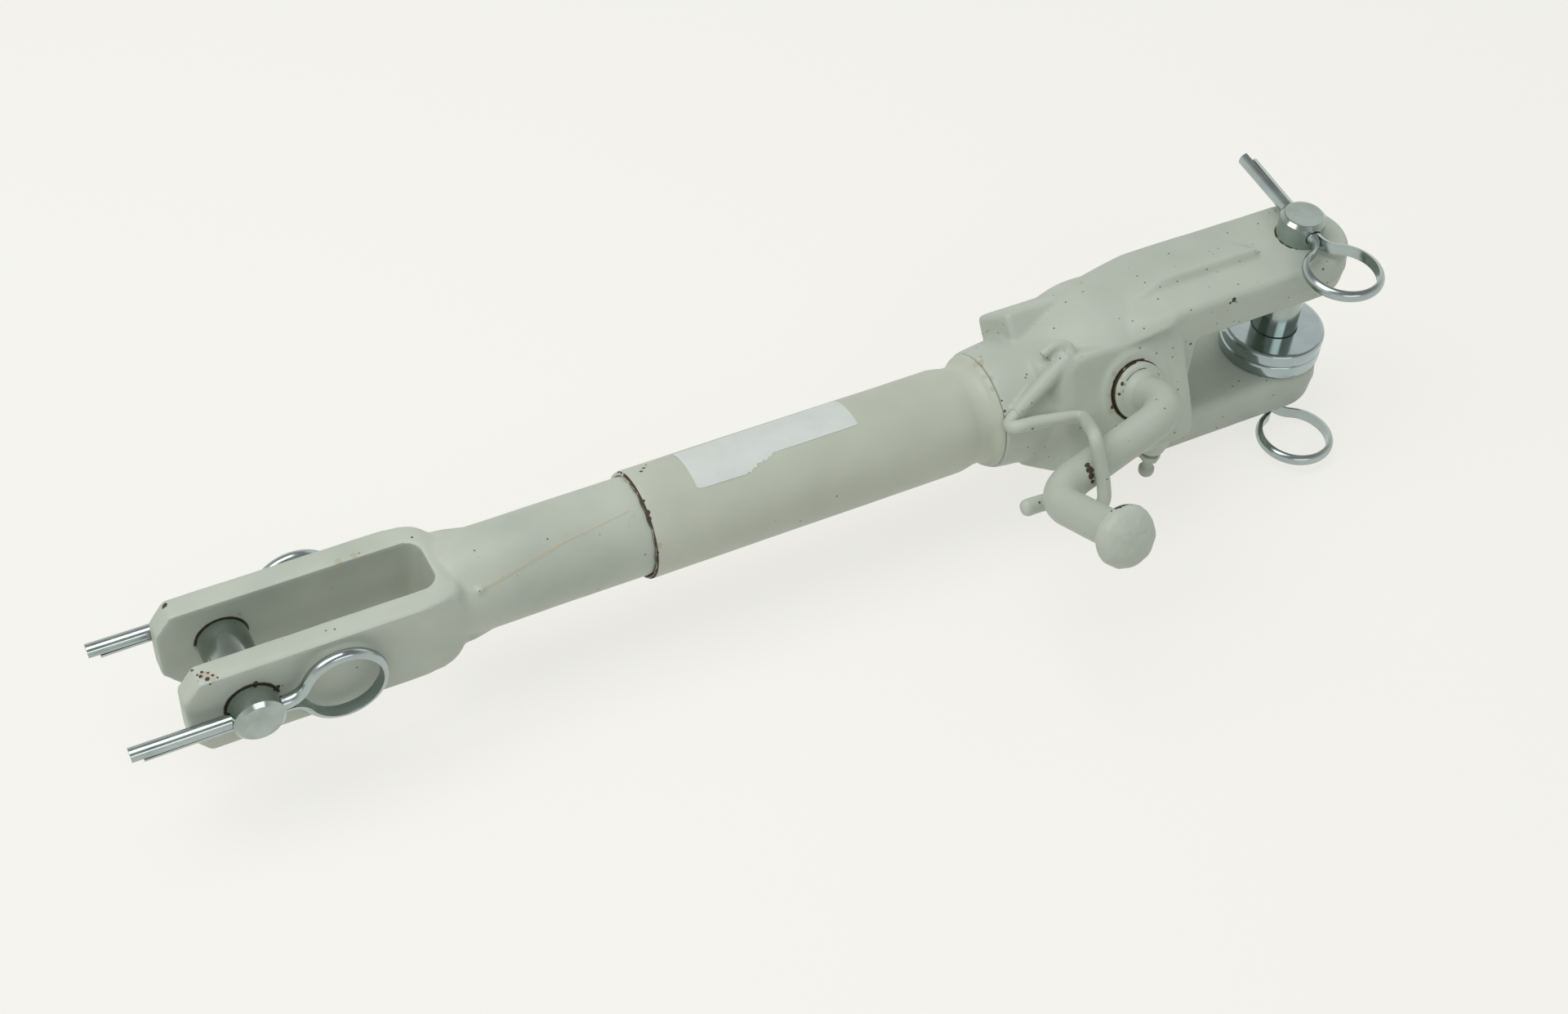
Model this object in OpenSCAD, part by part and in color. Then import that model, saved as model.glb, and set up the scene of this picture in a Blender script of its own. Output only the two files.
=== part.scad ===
// Three-point linkage lift rod with a levelling crank, in millimetres.
// A bevel gear pair in the upper forging turns a screw, and the screw moves
// the lower fork in and out of a tube. The origin is the centre of the upper
// pin on the rod's axis. +X runs from the lower fork to the upper fork, +Z is
// along the upper pin and +Y points away from the crank.

/* [Rod] */
// Distance between the two pins at the setting shown
pin_distance = 600; // [556:1:630]
// From the upper pin to the open mouth of the tube
tube_mouth = 395; // [380:1:398]
// Outer diameter of the tube
tube_d = 56; // [55:0.5:60]
// Diameter of the lower fork's sliding shank
shank_d = 51; // [49:0.5:51.5]

/* [Upper fork] */
// Diameter of the upper pin's hole
upper_pin_d = 25; // [20:0.5:28]
// Width of the ears
ear_w = 56; // [52:1:60]
// Clear gap between the two ears
ear_gap = 54; // [53:0.5:60]
// Thickness of each ear
ear_t = 26; // [20:0.5:27]
// From the upper pin to the bottom of the gap
gap_depth = 87; // [82:1:88]
// Height of the raised rib on each ear
rib_rise = 2.3; // [1:0.1:3]

/* [Gear housing] */
// From the upper pin to the crank's axis
crank_x = 123.5; // [122:0.5:126]
// Angle of the crank's axis above the side of the rod
crank_tilt = 27.2; // [20:0.1:35]
// From the rod's axis to the machined face round the crank
face_h = 42.65; // [41:0.05:45]
// Width of the machined face along the rod
face_w = 66; // [60:1:70]
// Largest radius of the cast bulge over the gears
bulge_r = 50.5; // [49.5:0.5:53]
// Radius of the neck where the tube meets it
neck_r = 31.5; // [31:0.5:34]
// From the upper pin to the end face of the neck
neck_end = 196.5; // [194:0.5:198]
// Radius of the bore that holds the gears
chamber_r = 26; // [25.8:0.1:27]

/* [Screw and gears] */
// Module of the bevel teeth at their large end
gear_module = 2.4; // [2.2:0.05:2.4]
// Teeth of the pinion on the crank
pinion_teeth = 12; // [12:1:12]
// Teeth of the gear on the screw
gear_teeth = 20; // [20:1:20]
// Diameter over the screw's thread
screw_d = 28; // [26:0.5:30]
// Length of the nut in the fork's shank
nut_l = 40; // [30:1:45]

/* [Crank] */
// Diameter of the crank's bar
bar_d = 19; // [16:0.5:19]
// Diameter of the crank's shaft in the housing
crank_shaft_d = 16; // [14:0.5:17]
// From the rod's axis out to the crank's arm
arm_h = 79; // [77:0.5:82]
// Length of the arm between its two bends
arm_l = 84.7; // [80:0.1:95]
// Length of the handle from the arm to its end
handle_l = 65; // [50:1:80]
// Diameter of the domed end of the handle
knob_d = 32; // [28:0.5:36]

/* [Pins and cotters] */
// Diameter of the lower pin
lower_pin_d = 25; // [20:0.5:28]
// Length of the upper pin
upper_pin_l = 134.8; // [132:0.2:140]
// Length of the lower pin
lower_pin_l = 79.6; // [79:0.2:88]
// Outer diameter of the two loose washers
washer_d = 57; // [45:1:60]
// Thickness of each loose washer
washer_t = 8; // [4:0.5:10]
// Diameter over the two legs of a split cotter
cotter_d = 8.4; // [6:0.1:8.6]
// Outer width of a cotter's ring
cotter_ring = 45; // [36:0.5:48]

/* [Lower fork] */
// Width of the lower fork across its tines
fork_w = 56; // [54:1:60]
// Height of the tines
fork_h = 48; // [44:1:50]
// Clear slot between the tines
fork_slot = 31; // [24:0.5:34]
// From the lower pin to the tip of the tines
fork_tip = 30; // [26:1:36]
// From the lower pin to the bottom of the slot
fork_depth = 98; // [80:1:100]

/* [Latch] */
// Diameter of the spring wire that holds the crank
wire_d = 7; // [5:0.5:7]

/* [Hidden] */
$fn = 64;
soft_fn = 24;        // facets on blended cast shapes
slip = 0.1;          // radial gap of a shaft or pin in its bore
seat = 0.04;         // gap round a piece pressed into its seat

// colours
paint = [0.66, 0.70, 0.65];
tube_paint = [0.68, 0.70, 0.63];
zinc = [0.80, 0.83, 0.86];
steel = [0.60, 0.61, 0.62];
bronze = [0.72, 0.55, 0.32];

// upper fork
upper_r = upper_pin_d / 2;
ear_in = ear_gap / 2;
ear_out = ear_in + ear_t;
ear_edge = 3.2;      // rounding of an ear's outer edges
ear_in_edge = 5.5;   // rounding of its edges along the gap
ear_start = gap_depth + 9;      // where the ears' flat sides begin
gap_corner = 7;      // radius in the bottom corners of the gap
rib_y = [-5, 15];    // edges of the rib on each ear
rib_end = 31;        // blunt end of the rib, from the pin
rib_start = crank_x - 12;
rib_root = 3;        // how deep the rib sits in the ear
rib_flare = 4;       // widening where the rib runs out

// gear housing
face_low = -36;      // lower and upper edge of the machined face, from the crank's axis
face_top = 27;
bulge_len = 18;      // length over which the bulge keeps its radius
neck_len = 27;       // nearly straight neck before the bulge
cone_len_x = neck_end - neck_len - crank_x;
nipple_x = 20.5;     // nipple's place along the rod, from the crank's axis
nipple_angle = 46.9; // its place round the housing, from below
nipple_r = 3.1;      // thread of the nipple
nipple_seat_r = 6.6; // spot face under its hexagon
nipple_base = 6;     // face of the nipple's boss, above the root of its hole
nipple_tip = 23.4;
plug_t = 8;          // thickness of the plug at the bottom of the gap
lug_x = [crank_x + 3.5, crank_x + 50];  // ends of the lug on the far side
lug_top = 45.5;      // its top, from the rod's axis
lug_half = 17;
lug_angle = 47.8;    // its direction from +Y towards +Z

// gears
pinion_pr = gear_module * pinion_teeth / 2;
gear_pr = gear_module * gear_teeth / 2;
cone_len = sqrt(pinion_pr * pinion_pr + gear_pr * gear_pr);
tooth_in = 0.72;     // small end of the teeth, as a share of the cone
tooth_add = 0.8;     // height above the pitch cone, in modules
tooth_ded = 1.05;    // depth below it, in modules
tooth_thick = 0.74;  // thickness left after backlash
pressure = 20;
key_w = 5;           // key between the gear and the screw
key_up = 2.2;
hub_r = 13.5;        // gear's hub in front
dish_r = 14.5;       // dish for the nut in front of the gear
drive_pin_r = 2;     // pin through the pinion
drive_pin_bore = 0.9;
gear_back = pinion_pr + 7.2;    // gear's back face, from the crank's axis
pinion_back = gear_pr + 4.6;    // pinion's back face, from the rod's axis
pin_hole_h = pinion_back - 3;

// thrust bearing behind the gear
race_t = 3.5;
race_gap = 4;
race_r = 23;
ball_r = 3;
ball_count = 12;
ball_ring_r = 17.5;
cage_t = 1.6;
turn_race_x = crank_x + gear_back;
fix_race_x = turn_race_x + race_t + race_gap;
chamber_end = fix_race_x + race_t;

// screw
screw_r = screw_d / 2;
journal_r = screw_r - 2;
gear_seat_r = 10;
screw_tip_r = 8;
screw_front = crank_x + 9;      // spindle's end next to the crank's shaft
gear_front = crank_x + pinion_pr * tooth_in + 3.2;
spindle_nut_t = 4.2;
spindle_nut_af = 24;
travel_out = 54;
travel_in = 78;
set_distance = 600;  // pin distance at which the screw's length is worked out
crimp_x = [neck_end + 6.5, neck_end + 13.5];
spigot_end = crimp_x[1] + 6;
end_room = 2;        // space left beyond each end of the travel
rest_end = spigot_end + travel_in + end_room;   // fork's end at that distance
shank_end = rest_end + pin_distance - set_distance;
nut_end = shank_end + nut_l;
nut_r = 20;
nut_pin_r = 3;
nut_pin_turn = 40;
screw_end = rest_end + nut_l + travel_out + end_room;
shank_bore_end = screw_end + travel_in + 2 * end_room + pin_distance - set_distance;

// tube and spigot
tube_r = tube_d / 2;
shank_r = shank_d / 2;
tube_in_r = shank_r + 0.3;
crimp_r = 26.4;
crimp_in_r = tube_in_r - (tube_r - crimp_r);
flare_r = neck_r - 0.5;
bush_wall = 4;
bush_in = 170;

// crank
crank_r = crank_shaft_d / 2;
bar_r = bar_d / 2;
collar_r = 15.4;
collar_base = face_h - 4.35;
collar_top = face_h + 5.35;
face_bore_r = 16;
near_bush_base = pinion_back + 1.5;
rear_bush_top = chamber_r + 1;
rear_bush_end = chamber_r + 14;
arm_angle = 196.4;   // direction of the arm about the crank's axis
bend_r = 19.5;
bar_sides = 24;
bend_steps = 9;

// latch, in the crank's own frame: x along the rod, z along the crank's axis
wire_r = wire_d / 2;
hinge_a = [-36, 26.2, 36.8];
hinge_b = [-71, 2.2, 32.8];
over_arm = arm_h + bar_r + wire_r + 1.2;        // wire's centre where it crosses the arm
under_arm = arm_h - bar_r - wire_r;
tunnel_r = wire_r + 1.9;

// pins and cotters
lower_r = lower_pin_d / 2;
pin_chamfer = 1.8;
cotter_hole_r = cotter_d / 2 + 0.3;
cotter_r = cotter_d / 2 - 0.15;
leg_gap = 0.15;      // half the gap between a cotter's flat sides
ring_flat_r = cotter_ring / 2 - cotter_r;
ring_centre = 42;
neck_bend_r = 13;     // bend between a leg and the ring
leg_long = 59;
leg_short = 54;
cotter_turn = 5;     // turn of the upper cotters about the pin
upper_cotter_z = upper_pin_l / 2 - 6.8;
lower_cotter_y = lower_pin_l / 2 - 6.4;
lower_pin_y = -1;    // the lower pin lies pushed towards the crank's side

// lower fork
tip_round = 9.5;
slot_round = 8;
fork_edge = 3.5;
head_run = 18;       // solid length between the slot and the neck
shoulder_x = pin_distance - fork_depth - head_run;

// helpers

function unit(v) = v / norm(v);

// direction of a path at point i
function tangent(p, i) = unit(p[min(i + 1, len(p) - 1)] - p[max(i - 1, 0)]);

// a side direction turned square to a path's direction
function squared(n, t) = unit(n - (n * t) * t);

// side directions carried along a path without twist
function sides(p, n0) = [
    for (i = 0, n = squared(n0, tangent(p, 0)); i < len(p);
         i = i + 1, n = squared(n, tangent(p, min(i, len(p) - 1)))) n
];

// a path with its corners cut again and again, ends kept
function smooth(p, times) = times == 0 ? p : smooth(concat(
    [p[0]],
    [for (i = [0 : len(p) - 2]) each [
        (i == 0 ? p[0] * 0.5 + p[1] * 0.5 : p[i] * 0.75 + p[i + 1] * 0.25),
        (i == len(p) - 2 ? p[i] * 0.5 + p[i + 1] * 0.5 : p[i] * 0.25 + p[i + 1] * 0.75)]],
    [p[len(p) - 1]]), times - 1);

// a round section of n sides
function round_section(r, n) = [for (k = [0 : n - 1]) r * [cos(360 * k / n), sin(360 * k / n)]];

// a half-round section, flat side at x = 0
function half_section(r, n) = [for (k = [0 : n]) r * [cos(-90 + 180 * k / n), sin(-90 + 180 * k / n)]];

// solid through a list of rings, each with the same number of points
module loft(rings) {
    m = len(rings[0]);
    last = len(rings) - 1;
    first_mid = [for (q = rings[0]) 1] * rings[0] / m;
    last_mid = [for (q = rings[last]) 1] * rings[last] / m;
    points = concat([for (ring = rings) each ring], [first_mid, last_mid]);
    walls = [for (i = [0 : last - 1], j = [0 : m - 1])
        let (k = (j + 1) % m, a = i * m, b = a + m)
        each [[a + j, b + j, b + k], [a + j, b + k, a + k]]];
    caps = [for (j = [0 : m - 1])
        let (k = (j + 1) % m, a = last * m, c = (last + 1) * m)
        each [[c, j, k], [c + 1, a + k, a + j]]];
    polyhedron(points = points, faces = concat(walls, caps));
}

// section swept along a path
module sweep(p, section, side) {
    n = sides(p, side);
    loft([for (i = [0 : len(p) - 1])
        let (t = tangent(p, i), w = cross(t, n[i]))
        [for (q = section) p[i] + q[0] * n[i] + q[1] * w]]);
}

// places along and around the rod's axis: local z runs towards -X
module down_rod(x) {
    translate([-x, 0, 0])
        rotate([0, -90, 0])
            children();
}

// local z runs out along the crank's axis, local x along +X
module at_crank() {
    translate([-crank_x, 0, 0])
        rotate([90 - crank_tilt, 0, 0])
            children();
}

// ring or disc standing on z = 0
module ring(outer, inner, t) {
    difference() {
        cylinder(r = outer, h = t);
        translate([0, 0, -1])
            cylinder(r = inner, h = t + 2);
    }
}

// shaft of several diameters from [z, r] pairs
module turned(profile) {
    rotate_extrude($fn = 64)
        polygon(profile);
}

// upper fork and gear housing

module bulge_profile() {
    polygon([
        [0, -neck_end], [neck_r, -neck_end], [neck_r + 1, -neck_end + 4.5],
        [neck_r + 2, -neck_end + neck_len * 0.6], [neck_r + 4, -neck_end + neck_len],
        [neck_r + (bulge_r - neck_r) * 0.45, -crank_x - cone_len_x * 0.72],
        [neck_r + (bulge_r - neck_r) * 0.74, -crank_x - cone_len_x * 0.42],
        [neck_r + (bulge_r - neck_r) * 0.92, -crank_x - cone_len_x * 0.16],
        [bulge_r, -crank_x + bulge_len * 0.4], [bulge_r, -crank_x + bulge_len],
        [bulge_r - 2.5, -crank_x + bulge_len + 5], [bulge_r - 9, -crank_x + bulge_len + 10],
        [ear_w / 2 - 2, -ear_start + 3], [0, -ear_start + 3]
    ]);
}

// one ear, its nose round the pin, with rounded edges
module ear(side) {
    middle = side * (ear_in + ear_t / 2);
    hull()
        for (edge = [ear_edge, ear_in_edge], q = [0 : 30 : 90]) {
            half = ear_w / 2 - edge * (1 - sin(q));
            far = side * (edge == ear_edge ? ear_out - edge * (1 - cos(q)) : ear_in + edge * (1 - cos(q)));
            translate([0, 0, min(middle, far)]) {
                cylinder(r = half, h = abs(middle - far), $fn = 48);
                translate([-ear_start - 2, -half, 0])
                    cube([ear_start, 2 * half, abs(middle - far)]);
            }
        }
}

// the block behind the gap, blended into the round bulge
module throat() {
    hull() {
        for (y = [-1, 1], z = [-1, 1])
            translate([-ear_start, y * (ear_w / 2 - ear_edge), z * (ear_out - ear_edge)])
                rotate([0, 90, 0])
                    cylinder(r = ear_edge, h = ear_start - gap_depth + gap_corner, $fn = soft_fn);
        down_rod(crank_x + 13)
            cylinder(r = bulge_r - 5, h = 4, $fn = 48);
    }
}

// raised panel down the middle of an ear
module ear_rib(side) {
    low = side > 0 ? ear_out - rib_root : -ear_out - rib_rise;
    translate([0, 0, low])
        linear_extrude(rib_root + rib_rise)
            polygon([
                [-rib_start, rib_y[0] - rib_flare], [-gap_depth, rib_y[0]],
                [-rib_end, rib_y[0]], [-rib_end, rib_y[1]],
                [-gap_depth, rib_y[1]], [-rib_start, rib_y[1] + rib_flare]
            ]);
}

// flat cut through the bulge in the plane of the machined face; beyond the
// face's upper edge it rises at 45 degrees towards the ear
module face_cut() {
    run = face_w + 24;
    edge = face_top - 3;
    at_crank()
        translate([-face_w / 2 - 24, 0, 0])
            rotate([90, 0, 90])
                linear_extrude(run)
                    polygon([
                        [-bulge_r - 10, face_h], [edge, face_h], [edge + bulge_r, face_h + bulge_r],
                        [-bulge_r - 10, face_h + bulge_r]
                    ]);
}

// cast box under the machined face
module face_box() {
    at_crank()
        hull() {
            for (x = [-1, 1], y = [face_low + 9, face_top - 9])
                translate([x * (face_w / 2 - 9) , y, 0]) {
                    translate([0, 0, face_h - 2])
                        cylinder(r = 7.5, h = 2, $fn = soft_fn);
                    translate([0, 0, 8])
                        cylinder(r = 9, h = face_h - 11, $fn = soft_fn);
                }
            translate([-face_w / 2 - 12, -22, 12])
                cylinder(r = 6, h = 14, $fn = soft_fn);
        }
}

// lug cast on the far side, square to the rod
module far_lug() {
    rotate([lug_angle, 0, 0])
        translate([-lug_x[1], 0, 0])
            hull() {
                translate([0, 20, -lug_half])
                    cube([lug_x[1] - lug_x[0], 4, 2 * lug_half]);
                translate([0, 20, -lug_half + 2])
                    cube([lug_x[1] - lug_x[0] - 6, lug_top - 20, 2 * lug_half - 4]);
                translate([0, 20, -lug_half])
                    cube([lug_x[1] - lug_x[0] - 2, lug_top - 22, 2 * lug_half]);
            }
}

// half-round tunnel that the latch wire turns in
module latch_tunnel(r, ahead, behind) {
    d = unit(hinge_b - hinge_a);
    start = hinge_a - behind * d;
    len_all = norm(hinge_b - hinge_a) + behind + ahead;
    at_crank()
        translate(start)
            rotate([0, acos(d[2]), atan2(d[1], d[0])])
                cylinder(r = r, h = len_all, $fn = 32);
}

// everything that is bored or cut out of the forging
module housing_cuts() {
    // bore for the gears, from the bottom of the gap
    down_rod(gap_depth - 1)
        cylinder(r = chamber_r, h = fix_race_x - gap_depth + 1);
    down_rod(fix_race_x - 1)
        cylinder(r = race_r + seat, h = race_t + 1);
    // passage for the screw and the seat of its bush
    down_rod(chamber_end - 1)
        cylinder(r = screw_r + 1, h = 80);
    down_rod(bush_in)
        cylinder(r = screw_r + bush_wall + seat, h = 80);
    // crank's bores
    at_crank() {
        translate([0, 0, chamber_r - 6])
            cylinder(r = pinion_pr + 3.6, h = near_bush_base - chamber_r + 6);
        translate([0, 0, chamber_r])
            cylinder(r = face_bore_r, h = 40);
        translate([0, 0, -rear_bush_end])
            cylinder(r = crank_r + 3 + seat, h = rear_bush_end);
    }
    latch_tunnel(wire_r + slip, 3, 0.5);
    at_crank()
        translate(hinge_b + [-2, -1.2, 2.2])
            sphere(r = wire_r + 2.6, $fn = 32);
    nipple_place()
        translate([0, 0, -1])
            cylinder(r = nipple_r + seat, h = 2 * nipple_base);
    nipple_place()
        translate([0, 0, nipple_base])
            cylinder(r = nipple_seat_r, h = nipple_tip - nipple_base);
}

module upper_fork() {
    color(paint)
        difference() {
            union() {
                difference() {
                    union() {
                        rotate([0, 90, 0])
                            rotate_extrude($fn = 96)
                                bulge_profile();
                        throat();
                    }
                    face_cut();
                }
                ear(1);
                ear(-1);
                ear_rib(1);
                ear_rib(-1);
                face_box();
                far_lug();
                latch_tunnel(tunnel_r, -4, 5);
                nipple_place()
                    translate([0, 0, -nipple_base])
                        cylinder(r1 = nipple_seat_r + 1.5, r2 = nipple_seat_r, h = 2 * nipple_base, $fn = 32);
                // spigot that the tube is crimped on
                down_rod(neck_end - 1)
                    turned([
                        [0, 0], [tube_in_r - seat, 0], [tube_in_r - seat, crimp_x[0] - neck_end - 2],
                        [crimp_in_r - seat, crimp_x[0] - neck_end + 1],
                        [crimp_in_r - seat, crimp_x[1] - neck_end + 1],
                        [tube_in_r - seat, crimp_x[1] - neck_end + 4],
                        [tube_in_r - seat, spigot_end - neck_end + 1],
                        [0, spigot_end - neck_end + 1]
                    ]);
            }
            // gap between the ears
            translate([-gap_depth, 0, 0])
                rotate([90, 0, 0])
                    linear_extrude(2 * bulge_r + 20, center = true)
                        gap_outline();
            // pin hole through both ears
            translate([0, 0, -ear_out - 10])
                cylinder(r = upper_r + slip, h = 2 * ear_out + 20);
            housing_cuts();
        }
}

// side view of the gap, with round bottom corners
module gap_outline() {
    difference() {
        translate([0, -ear_in])
            square([gap_depth + ear_w, ear_gap]);
        for (s = [-1, 1])
            difference() {
                translate([-1, s > 0 ? ear_in - gap_corner : -ear_in - 1])
                    square([gap_corner + 1, gap_corner + 1]);
                translate([gap_corner, s * (ear_in - gap_corner)])
                    circle(r = gap_corner);
            }
    }
}

// plug that closes the gear bore at the bottom of the gap
module housing_plug() {
    color(steel)
        down_rod(gap_depth + 2)
            difference() {
                cylinder(r = chamber_r - seat, h = plug_t);
                translate([0, 0, -1])
                    cylinder(r = chamber_r - 6, h = 3.5);
            }
}

module sleeve() {
    color(tube_paint)
        rotate([0, -90, 0])
            turned([
                [tube_in_r, neck_end + 0.3], [flare_r, neck_end + 0.3], [flare_r - 1.6, neck_end + 2.2],
                [crimp_r + 0.8, crimp_x[0] - 1.5], [crimp_r, crimp_x[0] + 1.5],
                [crimp_r, crimp_x[1] - 1], [crimp_r + 0.5, crimp_x[1] + 1.5],
                [tube_r - 0.5, crimp_x[1] + 4.5], [tube_r, crimp_x[1] + 7],
                [tube_r, tube_mouth - 0.8], [tube_r - 0.8, tube_mouth], [tube_in_r, tube_mouth],
                [tube_in_r, crimp_x[1] + 3 + seat], [crimp_in_r, crimp_x[1] + seat],
                [crimp_in_r, crimp_x[0] - seat], [tube_in_r, crimp_x[0] - 3 - seat]
            ]);
}

// place of the grease nipple, local z pointing down out of the housing
module nipple_place() {
    y = -sin(nipple_angle) * bulge_r;
    z = -cos(nipple_angle) * bulge_r;
    translate([-crank_x + nipple_x, y, z])
        rotate([180, 0, 0])
            translate([0, 0, 2 - nipple_base])
                children();
}

module grease_nipple() {
    color(paint)
        nipple_place()
            turned([
                [0, 1], [nipple_r, 1], [nipple_r, nipple_base], [nipple_seat_r - 1, nipple_base],
                [nipple_seat_r - 1, nipple_base + 2.5], [3.9, nipple_base + 4.5], [2.9, nipple_base + 7],
                [2.9, nipple_tip - 8], [4.25, nipple_tip - 6], [4.25, nipple_tip - 3],
                [2.8, nipple_tip - 0.4], [1.2, nipple_tip], [0, nipple_tip]
            ]);
}

// bushes and bearing

module pinion_bush() {
    color(bronze)
        at_crank()
            translate([0, 0, near_bush_base])
                ring(face_bore_r - seat, crank_r + slip, collar_base - near_bush_base - 0.3);
}

module rear_bush() {
    color(bronze)
        at_crank()
            translate([0, 0, -rear_bush_end])
                ring(crank_r + 3, crank_r + slip, rear_bush_end - rear_bush_top);
}

module spindle_bush() {
    color(bronze)
        down_rod(bush_in)
            ring(screw_r + bush_wall, screw_r + slip, spigot_end - bush_in);
}

// bearing race with a ball groove in its upper face
module race(inner, groove_up) {
    difference() {
        ring(race_r, inner, race_t);
        translate([0, 0, groove_up ? race_t + race_gap / 2 : -race_gap / 2])
            rotate_extrude($fn = 64)
                translate([ball_ring_r, 0])
                    circle(r = ball_r + 0.08, $fn = 32);
    }
}

module fixed_race() {
    color(steel)
        down_rod(fix_race_x)
            race(journal_r + 0.5, false);
}

module turning_race() {
    color(steel)
        down_rod(turn_race_x)
            race(journal_r + seat, true);
}

module ball_cage() {
    color(bronze)
        down_rod(turn_race_x + race_t + race_gap / 2 - cage_t / 2)
            difference() {
                ring(ball_ring_r + 4.6, ball_ring_r - 4.6, cage_t);
                for (i = [0 : ball_count - 1])
                    rotate([0, 0, i * 360 / ball_count])
                        translate([ball_ring_r, 0, -1])
                            cylinder(r = ball_r + 0.08, h = cage_t + 2, $fn = 32);
            }
}

module thrust_balls() {
    color(steel)
        down_rod(turn_race_x + race_t + race_gap / 2)
            for (i = [0 : ball_count - 1])
                rotate([0, 0, i * 360 / ball_count])
                    translate([ball_ring_r, 0, 0])
                        sphere(r = ball_r, $fn = 32);
}

// bevel gears

// toothed outline at one end of a bevel gear: pitch radius pr on a cone of
// half-angle cone, n teeth, scaled by s towards the apex at the origin
function bevel_ring(n, pr, cone, s, phase) =
    let (m = gear_module, half = PI * m / 4 * tooth_thick)
    [for (i = [0 : n - 1], e = [
            [-1, -tooth_ded], [-1, 0], [-1, tooth_add], [1, tooth_add], [1, 0], [1, -tooth_ded]])
        let (h = e[1] * m,
             width = (half - h * tan(pressure)) / (pr + h * cos(cone)) * 180 / PI,
             turn = (i + phase) * 360 / n + e[0] * width,
             r = s * (pr + h * cos(cone)),
             z = s * (pr / tan(cone) - h * sin(cone)))
        [r * cos(turn), r * sin(turn), z]];

module bevel_teeth(n, pr, mate_pr, phase) {
    cone = atan2(pr, mate_pr);
    loft([bevel_ring(n, pr, cone, tooth_in, phase), bevel_ring(n, pr, cone, 1, phase)]);
}

// solid behind the teeth: inside their root cone, then out to the back face
module gear_hub(root_r, root_z, back, taper) {
    under = root_z - 3;
    turned([
        [0, under], [root_r * under / root_z - 0.3, under], [root_r - 0.3, root_z],
        [root_r - 0.3 - taper, back], [0, back]
    ]);
}

module spindle_gear() {
    root_r = gear_pr - gear_module * tooth_ded * pinion_pr / cone_len;
    root_z = pinion_pr + gear_module * tooth_ded * gear_pr / cone_len;
    color(steel)
        down_rod(crank_x)
            difference() {
                union() {
                    rotate([0, 0, crank_tilt - 90])
                        bevel_teeth(gear_teeth, gear_pr, pinion_pr, 0.5);
                    gear_hub(root_r, root_z, gear_back, 3);
                    translate([0, 0, gear_front - crank_x])
                        cylinder(r = hub_r, h = 6);
                }
                cylinder(r = gear_seat_r + seat, h = 60, center = true);
                translate([0, 0, gear_front - crank_x - gear_pr])
                    cylinder(r = dish_r, h = gear_pr);
                translate([gear_seat_r, 0, 0])
                    cube([2 * key_up, key_w, 60], center = true);
            }
}

module spindle_key() {
    color(steel)
        down_rod(gear_front + 1)
            translate([gear_seat_r - 2, -key_w / 2 + seat, 0])
                cube([key_up + 2 - seat, key_w - 2 * seat, turn_race_x - gear_front - 2]);
}

module screw_spindle() {
    color(steel)
        difference() {
            rotate([0, -90, 0])
                turned([
                    [0, screw_front], [screw_tip_r - 1, screw_front], [screw_tip_r, screw_front + 1],
                    [screw_tip_r, gear_front + 0.3], [gear_seat_r, gear_front + 0.3],
                    [gear_seat_r, turn_race_x], [journal_r, turn_race_x],
                    [journal_r, chamber_end + 0.2], [screw_r, chamber_end + 0.2],
                    [screw_r, screw_end - 2], [screw_r - 2, screw_end], [0, screw_end]
                ]);
            down_rod(gear_front + 1)
                translate([gear_seat_r - 2 - seat, -key_w / 2, -seat])
                    cube([10, key_w, turn_race_x - gear_front - 2 + 2 * seat]);
        }
}

module spindle_nut() {
    color(steel)
        down_rod(gear_front - spindle_nut_t)
            difference() {
                cylinder(d = spindle_nut_af / cos(30), h = spindle_nut_t, $fn = 6);
                translate([0, 0, -1])
                    cylinder(r = screw_tip_r + seat, h = spindle_nut_t + 2);
            }
}

module bevel_pinion() {
    root_r = pinion_pr - gear_module * tooth_ded * gear_pr / cone_len;
    root_z = gear_pr + gear_module * tooth_ded * pinion_pr / cone_len;
    color(steel)
        at_crank()
            difference() {
                union() {
                    bevel_teeth(pinion_teeth, pinion_pr, gear_pr, 0);
                    gear_hub(root_r, root_z, pinion_back, 0);
                }
                cylinder(r = crank_r + seat, h = 3 * pinion_back, center = true);
                pinion_pin_hole();
            }
}

module pinion_pin_hole() {
    translate([0, 0, pin_hole_h])
        rotate([90, 0, 0])
            cylinder(r = drive_pin_r, h = 4 * pinion_pr, center = true, $fn = 32);
}

module pinion_pin() {
    root_r = pinion_pr - gear_module * tooth_ded * gear_pr / cone_len;
    color(steel)
        at_crank()
            translate([0, 0, pin_hole_h])
                rotate([90, 0, 0])
                    difference() {
                        cylinder(r = drive_pin_r - seat, h = 2 * root_r - 1.4, center = true, $fn = 32);
                        cylinder(r = drive_pin_bore, h = 4 * root_r, center = true, $fn = 32);
                    }
}

module crank_washer() {
    color(steel)
        at_crank()
            translate([0, 0, pinion_back])
                ring(pinion_pr + 0.4, crank_r + seat, near_bush_base - pinion_back - 0.2);
}

// crank

arm_dir = [cos(arm_angle), sin(arm_angle), 0];
handle_start = arm_l * arm_dir + [0, 0, arm_h];
bar_path = concat(
    [[0, 0, collar_top - 2]],
    [for (i = [0 : bend_steps])
        let (q = 90 * i / bend_steps)
        [0, 0, arm_h - bend_r] + bend_r * (1 - cos(q)) * arm_dir + [0, 0, bend_r * sin(q)]],
    [for (i = [0 : bend_steps])
        let (q = 90 * i / bend_steps)
        handle_start - bend_r * arm_dir + bend_r * sin(q) * arm_dir
            + [0, 0, bend_r * (1 - cos(q))]],
    [handle_start + [0, 0, handle_l]]
);

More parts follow.
